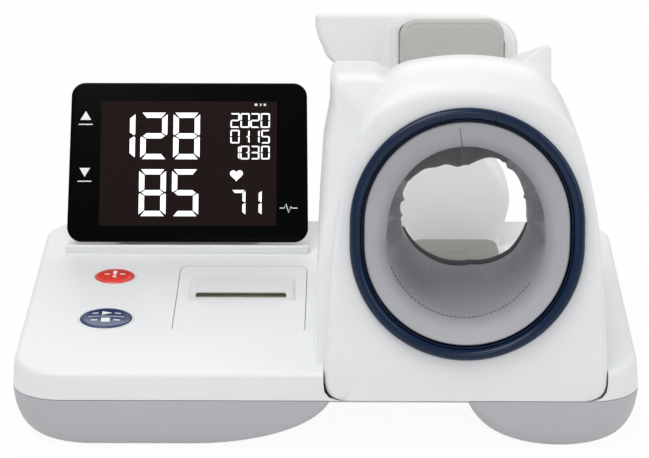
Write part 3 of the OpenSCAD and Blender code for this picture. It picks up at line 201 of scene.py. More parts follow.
def quads(rows: int, cols: int, wrap_rows: bool = False, wrap_cols: bool = True) -> np.ndarray:
    """Faces of a grid whose point (i, j) has index i cols + j; wrapped edges join the first line to the last."""
    i = np.arange(rows if wrap_rows else rows - 1)[:, None]
    j = np.arange(cols if wrap_cols else cols - 1)[None, :]
    i1, j1 = (i + 1) % rows, (j + 1) % cols
    return np.stack([i * cols + j, i * cols + j1, i1 * cols + j1, i1 * cols + j], -1).reshape(-1, 4)


@dataclass
class Shape:
    """Points in drawing millimetres with faces, ready to become an object."""

    points: np.ndarray
    faces: list[list[int]]
    uv: np.ndarray | None = None

    @classmethod
    def loft(cls, rings: np.ndarray, wrap: bool = False) -> "Shape":
        """Closed surface through closed rings, turned outwards.

        Args:
            rings: (rows, cols, 3) points.
            wrap: Join the last ring to the first, where else one flat face closes each of them.

        Returns:
            The shape.
        """
        rows, cols = rings.shape[:2]
        faces = quads(rows, cols, wrap_rows=wrap).tolist()
        if not wrap:
            faces += [list(range(cols))[::-1], list(range((rows - 1) * cols, rows * cols))]
        return cls(rings.reshape(-1, 3), faces).outward()

    @classmethod
    def prism(cls, flat: np.ndarray, place: Callable[..., np.ndarray], levels: Sequence[float]) -> "Shape":
        """Closed prism of a flat outline.

        Args:
            flat: (n, 2) outline.
            place: Carries the outline's two coordinates and a level to points.
            levels: The level of each ring.

        Returns:
            The shape.
        """
        return cls.loft(np.stack([place(flat[:, 0], flat[:, 1], level) for level in levels]))

    @classmethod
    def domed(cls, rings: np.ndarray) -> "Shape":
        """Closed surface through closed rings whose ends are fans to the ring's middle, turned outwards."""
        rows, cols = rings.shape[:2]
        base = rows * cols
        j = np.arange(cols)
        first = np.stack([np.full(cols, base), (j + 1) % cols, j], -1)
        last = np.stack([np.full(cols, base + 1), base - cols + j, base - cols + (j + 1) % cols], -1)
        points = np.concatenate([rings.reshape(-1, 3), rings[0].mean(0)[None], rings[-1].mean(0)[None]])
        return cls(points, quads(rows, cols).tolist() + first.tolist() + last.tolist()).outward()

    @classmethod
    def joined(cls, parts: Sequence["Shape"]) -> "Shape":
        """One shape that holds all the parts."""
        points, faces, base = [], [], 0
        for part in parts:
            points.append(part.points)
            faces += [[v + base for v in f] for f in part.faces]
            base += len(part.points)
        return cls(np.concatenate(points), faces)

    def volume(self) -> float:
        """Signed volume: the sum over fan triangles of a . (b x c) / 6."""
        a = np.array([f[0] for f in self.faces for _ in range(len(f) - 2)])
        b = np.array([f[k] for f in self.faces for k in range(1, len(f) - 1)])
        c = np.array([f[k + 1] for f in self.faces for k in range(1, len(f) - 1)])
        p = self.points - self.points.mean(0)
        return float(np.einsum("ij,ij->i", p[a], np.cross(p[b], p[c])).sum() / 6.0)

    def outward(self) -> "Shape":
        """The same shape with its faces turned outwards, judged by its signed volume."""
        if self.volume() < 0:
            self.faces = [f[::-1] for f in self.faces]
        return self

    def piece(self, name: str, angle: float = 35.0) -> bpy.types.Object:
        """Makes the Blender object, smooth but for edges sharper than angle.

        Args:
            name: The piece's name.
            angle: Edges that bend more than this stay sharp, in degrees.

        Returns:
            The object, at the origin, with its place in its mesh.
        """
        mesh = bpy.data.meshes.new(name)
        mesh.from_pydata(Drawing.place(self.points).tolist(), [], self.faces)
        mesh.shade_smooth()
        mesh.set_sharp_from_angle(angle=math.radians(angle))
        if self.uv is not None:
            layer = mesh.uv_layers.new(name="cloth")
            loops = np.zeros(len(mesh.loops), np.int32)
            mesh.loops.foreach_get("vertex_index", loops)
            layer.data.foreach_set("uv", self.uv[loops].astype(np.float32).ravel())
        mesh.validate()
        obj = bpy.data.objects.new(name, mesh)
        bpy.context.scene.collection.objects.link(obj)
        return obj


def swept(profile: np.ndarray, centre: np.ndarray, normal: np.ndarray, axes: Axes) -> np.ndarray:
    """Carries a profile of (radius, forward) along a path that lies in the frame's X and Z.

    Args:
        profile: (k, 2) distances from the path's centre and towards the front.
        centre: (m, 2) centres of the path in X and Z.
        normal: (m, 2) unit outward directions.
        axes: The frame.

    Returns:
        (m, k, 3) points: centre + radius * normal, forward along minus Y.
    """
    flat = centre[:, None, :] + profile[None, :, 0:1] * normal[:, None, :]
    return axes.at(flat[..., 0], -profile[None, :, 1] + 0 * flat[..., 0], flat[..., 1])


def carved(obj: bpy.types.Object, cutter: bpy.types.Object, angle: float = 35.0) -> bpy.types.Object:
    """Cuts the cutter out of the object and removes the cutter.

    Args:
        obj: A closed piece. cutter: A closed piece that is used up.
        angle: Edges sharper than this stay sharp afterwards, in degrees.

    Returns:
        The object with its new mesh.
    """
    cut = obj.modifiers.new("cut", "BOOLEAN")
    cut.operation, cut.solver, cut.object = "DIFFERENCE", "EXACT", cutter
    bpy.context.view_layer.update()
    mesh = bpy.data.meshes.new_from_object(obj.evaluated_get(bpy.context.evaluated_depsgraph_get()))
    obj.modifiers.clear()
    mesh.name = obj.name
    obj.data = mesh
    mesh.shade_smooth()
    mesh.set_sharp_from_angle(angle=math.radians(angle))
    bpy.data.objects.remove(cutter)
    return obj


# ---- finishes ---------------------------------------------------------------------------


class Wire:
    """A socket that turns Python's arithmetic into Math nodes."""

    def __init__(self, kit: "NodeKit", socket: bpy.types.NodeSocket) -> None:
        self.kit = kit
        self.socket = socket

    def _math(self, operation: str, *values: "Wire | float") -> "Wire":
        """Adds one Math node over the values."""
        return self.kit.node("ShaderNodeMath", {"operation": operation}, dict(enumerate(values)))["Value"]

    def __add__(self, other: "Wire | float") -> "Wire":
        """Sum."""
        return self._math("ADD", self, other)

    def __radd__(self, other: float) -> "Wire":
        """Sum with a number on the left."""
        return self._math("ADD", other, self)

    def __sub__(self, other: "Wire | float") -> "Wire":
        """Difference."""
        return self._math("SUBTRACT", self, other)

    def __mul__(self, other: "Wire | float") -> "Wire":
        """Product."""
        return self._math("MULTIPLY", self, other)

    def sine(self) -> "Wire":
        """Sine of the value in radians."""
        return self._math("SINE", self)

    def clamped(self) -> "Wire":
        """Value held between 0 and 1."""
        return self.kit.node("ShaderNodeClamp", {}, {"Value": self})["Result"]


class Outputs:
    """The outputs of a node, by name."""

    def __init__(self, kit: "NodeKit", node: bpy.types.Node) -> None:
        """Keeps the node and its kit."""
        self.kit = kit
        self.raw = node

    def __getitem__(self, name: str | int) -> Wire:
        """The named output as a wire."""
        return Wire(self.kit, self.raw.outputs[name])


class NodeKit:
    """Builds the nodes of one material."""

    def __init__(self, name: str) -> None:
        """Starts an empty material of that name."""
        self.material = bpy.data.materials.new(name)
        self.material.use_nodes = True
        self.tree = self.material.node_tree
        self.tree.nodes.clear()

    def node(self, kind: str, settings: dict | None = None, inputs: dict | None = None) -> Outputs:
        """Adds a node.

        Args:
            kind: The node's type.
            settings: Its own settings; "stops" fills a colour ramp with (place, value) pairs.
            inputs: Values or wires by socket name or number.

        Returns:
            Its outputs.
        """
        node = self.tree.nodes.new(kind)
        for key, value in (settings or {}).items():
            if key == "stops":
                ramp = node.color_ramp
                while len(ramp.elements) < len(value):
                    ramp.elements.new(0.5)
                for element, (place, tone) in zip(ramp.elements, value):
                    element.position, element.color = place, (tone, tone, tone, 1.0)
            else:
                setattr(node, key, value)
        for key, value in (inputs or {}).items():
            if isinstance(value, Wire):
                self.tree.links.new(value.socket, node.inputs[key])
            elif isinstance(value, tuple) and len(value) == 3 and node.inputs[key].type == "RGBA":
                node.inputs[key].default_value = (*value, 1.0)
            else:
                node.inputs[key].default_value = value
        return Outputs(self, node)

    def place(self) -> Wire:
        """Object coordinates, in metres."""
        return self.node("ShaderNodeTexCoord")["Object"]

    def noise(self, scale: float, detail: float = 2.0, rough: float = 0.5, at: Wire | None = None) -> Wire:
        """Noise between 0 and 1 with `scale` cells to the metre."""
        return self.node("ShaderNodeTexNoise", {}, {
            "Vector": at or self.place(), "Scale": scale, "Detail": detail, "Roughness": rough})["Fac"]

    def mix(self, factor: Wire, a: tuple | Wire, b: tuple | Wire) -> Wire:
        """Colour a where the factor is 0, b where it is 1."""
        return self.node("ShaderNodeMix", {"data_type": "RGBA"}, {0: factor, 6: a, 7: b})[2]

    def relief(self, height: Wire, depth: float, strength: float = 1.0) -> Wire:
        """Bump from a height of 0 to 1 that stands for `depth` metres."""
        return self.node("ShaderNodeBump", {}, {"Strength": strength, "Distance": depth, "Height": height})["Normal"]

    def finish(self, shader: dict) -> bpy.types.Material:
        """Closes the material with one Principled shader whose sockets are given by name."""
        bsdf = self.node("ShaderNodeBsdfPrincipled", {}, shader)
        self.node("ShaderNodeOutputMaterial", {}, {"Surface": bsdf["BSDF"]})
        return self.material


def tinted(colour: tuple, by: float) -> tuple:
    """The colour with each part multiplied by `by`, held at 1."""
    return tuple(min(1.0, c * by) for c in colour)


@dataclass(frozen=True)
class Moulding:
    """Moulded plastic: a fine spark-eroded grain, slow unevenness of tone and sheen."""

    name: str
    colour: tuple
    roughness: float = 0.42
    grain: float = 1500.0
    depth: float = 0.00003
    coat: float = 0.0
    mottle: float = 0.03

    def material(self) -> bpy.types.Material:
        """Builds the material."""
        kit = NodeKit(self.name)
        cloud = kit.noise(9.0, 3.0)
        speck = kit.noise(self.grain, 2.0)
        colour = kit.mix(cloud, tinted(self.colour, 1.0 - self.mottle), tinted(self.colour, 1.0 + self.mottle))
        rough = self.roughness + (cloud - 0.5) * 0.10 + (speck - 0.5) * 0.12
        return kit.finish({
            "Base Color": colour, "Roughness": rough, "Coat Weight": self.coat, "Coat Roughness": 0.12,
            "Specular IOR Level": 0.45, "Normal": kit.relief(speck, self.depth)})


@dataclass(frozen=True)
class Polish:
    """Polished plastic or lacquer: clear coat over a deep colour, with faint ripples and dust."""

    name: str
    colour: tuple
    roughness: float = 0.16
    ripple: float = 0.00006
    coat: float = 0.6
    shine: float = 0.5

    def material(self) -> bpy.types.Material:
        """Builds the material."""
        kit = NodeKit(self.name)
        wave = kit.noise(38.0, 2.0)
        dust = kit.noise(900.0, 4.0, 0.7)
        colour = kit.mix(dust, self.colour, tuple(min(1.0, c * 1.12 + 0.0015) for c in self.colour))
        rough = self.roughness + (dust - 0.45) * 0.09
        return kit.finish({
            "Base Color": colour, "Roughness": rough, "Coat Weight": self.coat, "Coat Roughness": 0.06,
            "Specular IOR Level": self.shine, "Normal": kit.relief(wave, self.ripple, 0.6)})


@dataclass(frozen=True)
class Weave:
    """Woven nylon on the piece's own UV map in metres: over-and-under threads, with fuzz and soft stains."""

    name: str
    colour: tuple
    thread: float = 0.00055
    depth: float = 0.00012

    def material(self) -> bpy.types.Material:
        """Builds the material; the relief is sin(u) sin(v) of the thread count."""
        kit = NodeKit(self.name)
        uv = kit.node("ShaderNodeUVMap", {"uv_map": "cloth"})["UV"]
        split = kit.node("ShaderNodeSeparateXYZ", {}, {"Vector": uv})
        turns = math.pi / self.thread
        thread = (split["X"] * turns).sine() * (split["Y"] * turns).sine() * 0.5 + 0.5
        cloud, fuzz = kit.noise(26.0, 4.0, 0.6), kit.noise(1400.0, 3.0, 0.6)
        soft = kit.mix((cloud - 0.2).clamped(), tinted(self.colour, 0.90), tinted(self.colour, 1.10))
        colour = kit.mix(thread * 0.6 + fuzz * 0.4, tinted(self.colour, 0.86), soft)
        creases = kit.noise(95.0, 5.0, 0.55)
        height = thread * 0.35 + fuzz * 0.15 + creases * 0.9
        return kit.finish({
            "Base Color": colour, "Roughness": 0.62 + (fuzz - 0.5) * 0.2, "Sheen Weight": 0.25,
            "Sheen Roughness": 0.4, "Specular IOR Level": 0.3, "Normal": kit.relief(height, self.depth)})


@dataclass(frozen=True)
class Leatherette:
    """Grained pad cover: cells of a fine pebble grain, slow clouds, and a little sheen."""

    name: str
    colour: tuple
    cells: float = 900.0
    depth: float = 0.00012

    def material(self) -> bpy.types.Material:
        """Builds the material; the grain is the distance to the nearest cell edge."""
        kit = NodeKit(self.name)
        cell = kit.node("ShaderNodeTexVoronoi", {"feature": "DISTANCE_TO_EDGE"}, {
            "Vector": kit.place(), "Scale": self.cells})["Distance"]
        pebble = (cell * 5.0).clamped()
        cloud, wear = kit.noise(22.0, 4.0), kit.noise(260.0, 3.0)
        colour = kit.mix(pebble * 0.6 + wear * 0.4, tinted(self.colour, 0.86), tinted(self.colour, 1.06))
        colour = kit.mix(cloud * 0.5, colour, tinted(self.colour, 1.04))
        rough = 0.50 + (cloud - 0.5) * 0.18 - pebble * 0.06
        return kit.finish({
            "Base Color": colour, "Roughness": rough, "Sheen Weight": 0.08,
            "Normal": kit.relief(pebble * 0.7 + wear * 0.3, self.depth)})


@dataclass(frozen=True)
class Metal:
    """Plated or drawn steel: fine scratches along X and a patchy sheen."""

    name: str
    colour: tuple = (0.62, 0.63, 0.65)
    roughness: float = 0.32

    def material(self) -> bpy.types.Material:
        """Builds the material; the scratches are noise stretched forty times along X."""
        kit = NodeKit(self.name)
        stretch = kit.node("ShaderNodeMapping", {}, {"Vector": kit.place(), "Scale": (0.025, 1.0, 1.0)})["Vector"]
        scratch = kit.noise(3000.0, 3.0, 0.6, stretch)
        cloud = kit.noise(60.0, 3.0)
        colour = kit.mix(scratch, tinted(self.colour, 0.85), tinted(self.colour, 1.08))
        return kit.finish({
            "Base Color": colour, "Metallic": 0.95, "Roughness": self.roughness + (cloud - 0.5) * 0.2,
            "Normal": kit.relief(scratch, 0.00002)})


@dataclass(frozen=True)
class Soft:
    """Rubber, foam or paper: matt, with a fine irregular tooth."""

    name: str
    colour: tuple
    roughness: float = 0.8
    tooth: float = 1100.0
    depth: float = 0.00006

    def material(self) -> bpy.types.Material:
        """Builds the material."""
        kit = NodeKit(self.name)
        tooth, cloud = kit.noise(self.tooth, 4.0, 0.65), kit.noise(40.0, 2.0)
        colour = kit.mix(tooth * 0.5 + cloud * 0.5, tinted(self.colour, 0.85), tinted(self.colour, 1.12))
        return kit.finish({
            "Base Color": colour, "Roughness": self.roughness + (tooth - 0.5) * 0.15,
            "Specular IOR Level": 0.3, "Normal": kit.relief(tooth, self.depth)})


@dataclass(frozen=True)
class Lit:
    """Lit ink: a pale segment with a slight glow that is uneven as behind a diffuser."""

    name: str
    colour: tuple = (0.90, 0.92, 0.93)
    glow: float = 0.55

    def material(self) -> bpy.types.Material:
        """Builds the material."""
        kit = NodeKit(self.name)
        cloud = kit.noise(150.0, 2.0)
        colour = kit.mix(cloud, tinted(self.colour, 0.96), tinted(self.colour, 1.04))
        return kit.finish({
            "Base Color": colour, "Roughness": 0.35 + cloud * 0.1, "Emission Color": colour,
            "Emission Strength": self.glow})


@dataclass(frozen=True)
class CircuitBoard:
    """Green lacquered board: a faint square pattern of copper lands under gloss."""

    name: str

    def material(self) -> bpy.types.Material:
        """Builds the material."""
        kit = NodeKit(self.name)
        brick = kit.node("ShaderNodeTexBrick", {"offset": 0.5}, {
            "Vector": kit.place(), "Scale": 160.0, "Mortar Size": 0.03,
            "Color1": (0.012, 0.12, 0.05), "Color2": (0.018, 0.16, 0.06), "Mortar": (0.05, 0.25, 0.10)})["Color"]
        grain = kit.noise(700.0)
        return kit.finish({
            "Base Color": brick, "Roughness": 0.3 + grain * 0.15, "Coat Weight": 0.4,
            "Normal": kit.relief(grain, 0.00004)})


class Look(Enum):
    """Every finish on the unit."""

    WHITE = Moulding("satin_white_shell", (0.84, 0.848, 0.855), 0.40)
    GREY = Moulding("grey_lower_shell", (0.50, 0.495, 0.515), 0.48, 1100.0, 0.00005)
    LIGHT = Moulding("light_grey_shell", (0.86, 0.86, 0.86), 0.46)
    FRAME = Moulding("warm_grey_frame", (0.80, 0.795, 0.785), 0.45)
    NAVY = Polish("navy_ring_lacquer", (0.0030, 0.0140, 0.043), 0.20, coat=0.10, shine=0.22)
    NAVY_CAP = Polish("navy_button_cap", (0.011, 0.030, 0.115), 0.26, 0.00004, 0.2)
    RED_CAP = Polish("red_button_cap", (0.74, 0.045, 0.022), 0.26, 0.00004, 0.3)
    INK = Moulding("white_ink", (0.86, 0.87, 0.88), 0.5, 1800.0)
    BLACK = Polish("black_panel_gloss", (0.0010, 0.0010, 0.0012), 0.18, 0.00002, 0.0, 0.03)
    LCD = Polish("lcd_window_gloss", (0.0135, 0.0076, 0.0065), 0.26, 0.00002, 0.0, 0.04)
    SEGMENT = Lit("lit_segment")
    CUFF = Weave("grey_cuff_cloth", (0.47, 0.47, 0.497))
    # Dark cloth for the hem; on the sheet under the sleeve's top the same dark colour is painted shade, the roll's
    # shadow.
    DARK_HEM_AND_SHADE = Weave("dark_hem_and_painted_shade", (0.19, 0.188, 0.20))
    THREAD = Soft("dark_sewing_thread", (0.09, 0.09, 0.10), 0.8, 4000.0, 0.00003)
    PAD = Leatherette("warm_grey_pad_cover", (0.52, 0.522, 0.485))
    ELBOW = Leatherette("elbow_pad_cover", (0.33, 0.325, 0.285))
    DARK = Moulding("black_moulding", (0.022, 0.022, 0.024), 0.5)
    CREAM = Moulding("natural_moulding", (0.62, 0.60, 0.54), 0.5)
    OLIVE = Moulding("slot_throat", (0.60, 0.585, 0.48), 0.6)
    RUBBER = Soft("black_rubber", (0.02, 0.02, 0.021))
    FOAM = Soft("bladder_rubber", (0.42, 0.40, 0.36), 0.85, 500.0)
    PAPER = Soft("thermal_paper", (0.80, 0.80, 0.78), 0.7, 2500.0, 0.00002)
    STEEL = Metal("plated_steel")
    BOARD = CircuitBoard("circuit_board")

    def material(self) -> bpy.types.Material:
        """The finish's material, built once."""
        return bpy.data.materials.get(self.value.name) or self.value.material()


def dress(obj: bpy.types.Object, look: Look, body: str = BASE, nodes: Sequence[str] = (),
          slot: str = "") -> bpy.types.Object:
    """Gives a piece its finish, its body and the CAD nodes that it stands for.

    Args:
        obj: The piece. look: Its finish. body: The body that it rides on.
        nodes: CAD nodes that it replaces. slot: Not used.

    Returns:
        The piece.
    """
    obj.data.materials.clear()
    obj.data.materials.append(look.material())
    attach(obj, body)
    for node in nodes:
        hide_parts(node)
    LOG.info("%s: %d points, %s, rides on %s", obj.name, len(obj.data.vertices), look.name.lower(), body)
    return obj


# ---- base -------------------------------------------------------------------------------


@dataclass
class BaseCasing:
    """White top cover, grey lower shell with two foot pods, and the ports at the rear."""

    half_w: float = 245.0
    half_d: float = HALF_DEPTH
    corner: float = 40.0
    parting: float = 40.0
    foot: float = 1.5
    wall: float = 2.8
    edge: float = 4.0
    draft: float = 1.6
    arch: tuple[float, float] = (4.0, 110.0)
    house_rear: float = -12.5
    door: tuple[float, float, float, float, float] = (-123.4, -16.6, -85.9, 57.65, 9.4)
    ports: tuple = ((-168, 47, 43.5, 66.5), (-126, 15, 43.5, 66.5), (-84, 40, 45.5, 62.5))

    def ring(self, inset: float, lift: float, follow: float) -> np.ndarray:
        """One ring of the cover: the plan drawn in by `inset`, at `lift` over the parting line or the deck.

        Args:
            inset: Distance inside the plan's outline.
            lift: Height over the parting line where follow is 0, over the deck where it is 1.
            follow: Share of the deck's slope that the ring follows.

        Returns:
            The ring's points.
        """
        o = inset
        flat = round_rect(-self.half_w + o, self.half_w - o, -self.half_d + o, self.half_d - o, self.corner - o, 16)
        z = self.parting * (1 - follow) + deck_height(flat[:, 1]) * follow + lift
        return np.column_stack([flat, z])

    def cover(self) -> bpy.types.Object:
        """The top cover: a closed shell lofted from the parting line over the rounded edge to the deck, then cut."""
        r, w, d = self.edge, self.wall, self.draft
        steps = np.radians(np.linspace(0, 90, 9))
        outer = [self.ring(0.5, 0.3, 0), self.ring(0.0, 0.8, 0), self.ring(d, -r, 1)]
        outer += [self.ring(d + r * (1 - math.cos(a)), -r * (1 - math.sin(a)), 1) for a in steps[1:]]
        outer += [self.ring(d + r + 2.0, 0.0, 1), self.ring(30.0, 0.0, 1)]
        inner = [self.ring(30.0, -w, 1), self.ring(d + r + 2.0, -w, 1), self.ring(d + w + 1.0, -w - 2.0, 1),
                 self.ring(d + w, -r - w, 1), self.ring(w, 0.3, 0)]
        cover = Shape.loft(np.stack(inner + outer)).piece("top_cover_shell")
        return carved(cover, self.cuts())

    def cuts(self) -> bpy.types.Object:
        """Everything that is cut out of the cover, as one closed cutter."""
        half = [(109.8, 140.0), (109.8, -16.0), (108.8, -21.8), (105.4, -26.0), (99.4, -27.9)]
        drop = math.cos(math.radians(TUNNEL_TILT))
        housing = np.array([(TUNNEL_X + x, FACE_FOOT_Z + u * drop) for x, u in both_sides(half)])
        x0, x1, y0, y1, radius = self.door
        through = (-20.0, 20.0)
        parts = [Shape.prism(housing, UPRIGHT.face, (-190.0, self.house_rear)),
                 Shape.prism(round_rect(x0, x1, deck_run(y0), deck_run(y1), radius), DECK.at, through)]
        for key in BUTTONS:
            hole = arc(0, 0, key.size / 2 + 1.8, 0, 360, 64)[:-1] + (key.x, deck_run(key.y))
            parts.append(Shape.prism(hole, DECK.at, through))
        for x, w, z0, z1 in self.ports:
            port = round_rect(x - w / 2, x + w / 2, z0, z1, 1.8, 4)
            parts.append(Shape.prism(port, UPRIGHT.face, (150.0, 180.0)))
        return Shape.joined(parts).piece("cover_cuts")

    def pod(self, outer: float, inner: float, run: float, name: str) -> bpy.types.Object:
        """One foot pod: round-cornered levels whose four sides follow their own curves down to the foot.

        Args:
            outer: X of the outer side. inner: X of the arch side. run: Length of the arch side's slope.
            name: The piece's name.

        Returns:
            The pod.
        """
        d, top, foot = math.copysign(1.0, inner - outer), self.parting, self.foot
        side = bezier((0, top), (1, top / 2), (9, foot), (26, foot), 60)
        slope = bezier((0, top), (10, top / 3), (run / 2, foot), (run, foot), 60)
        ends = np.concatenate([[(0, top)], bezier((0, 24), (0, 8), (2.75, foot), (11, foot), 60)])
        levels = foot + (top - foot) * (1 - np.sin(np.linspace(0, math.pi / 2, 34))) ** 1.25
        rings = []
        for z in levels:
            a, b, c = (float(np.interp(-z, -curve[:, 1], curve[:, 0])) for curve in (side, slope, ends))
            x0, x1 = sorted((outer + d * a, inner - d * b))
            share = (z - foot) / (top - foot)
            far, near = self.corner + 2 * (1 - share), 3.0 + 26 * (1 - share)
            corners = (near, far, far, near) if d > 0 else (far, near, near, far)
            flat = round_rect(x0, x1, -self.half_d + c, self.half_d - c, corners, 14)
            rings.append(np.column_stack([flat, np.full(len(flat), z)]))
        return Shape.loft(np.stack(rings)).piece(name, 50)

    def bridge(self) -> bpy.types.Object:
        """The plate over the arch, set back a little from the cover's skirt."""
        x0, x1 = self.arch
        flat = [round_rect(x0 - 3, x1 + 3, -self.half_d + o, self.half_d - o, 1.0, 3) for o in (3.2, 2.2, 2.2)]
        rings = np.stack([np.column_stack([f, np.full(len(f), z)]) for f, z in zip(flat, (38.2, 38.8, 40.0))])
        return Shape.loft(rings).piece("arch_ceiling")

    def build(self) -> None:
        """Makes and dresses the casing."""
        dress(self.cover(), Look.WHITE, nodes=["top_cover"], slot="white_shell")
        left = self.pod(-self.half_w, self.arch[0], 100.0, "left_foot_pod")
        dress(left, Look.GREY, nodes=["lower_shell"], slot="grey_shell")
        dress(self.pod(self.half_w, self.arch[1], 54.0, "right_foot_pod"), Look.GREY, slot="grey_shell")
        dress(self.bridge(), Look.GREY, slot="grey_shell")


# ---- tunnel -----------------------------------------------------------------------------


def dense(corners: Sequence[tuple[float, float]], n: int = 16) -> np.ndarray:
    """Outline through the corners with n points on each edge."""
    p = np.asarray(corners, float)
    t = np.linspace(0, 1, n, endpoint=False)[None, :, None]
    return (p[:, None] * (1 - t) + np.roll(p, -1, 0)[:, None] * t).reshape(-1, 2)


def turned_outline(points: Sequence[tuple[float, float]], n: int) -> tuple[np.ndarray, np.ndarray]:
    """Angles from +X and radii of an outline round the tunnel's axis, n points to an edge, by rising angle."""
    flat = dense(points, n) - (0, TUNNEL_AXIS)
    angle = np.arctan2(flat[:, 1], flat[:, 0])
    order = np.argsort(angle)
    return angle[order], np.hypot(flat[:, 0], flat[:, 1])[order]


def polar(points: Sequence[tuple[float, float]], theta: np.ndarray) -> np.ndarray:
    """Radius of an outline round the tunnel's axis, read at angles theta counted from +X, in radians."""
    angle, radius = turned_outline(points, 40)
    return np.interp(theta, angle, radius, period=2 * math.pi)


def eased(values: np.ndarray, width: int) -> np.ndarray:
    """Running mean round a closed row of values, `width` steps to each side, twice over."""
    kernel = np.ones(2 * width + 1) / (2 * width + 1)
    for _ in range(2):
        padded = np.concatenate([values[-width:], values, values[:width]])
        values = np.convolve(padded, kernel, "valid")
    return values


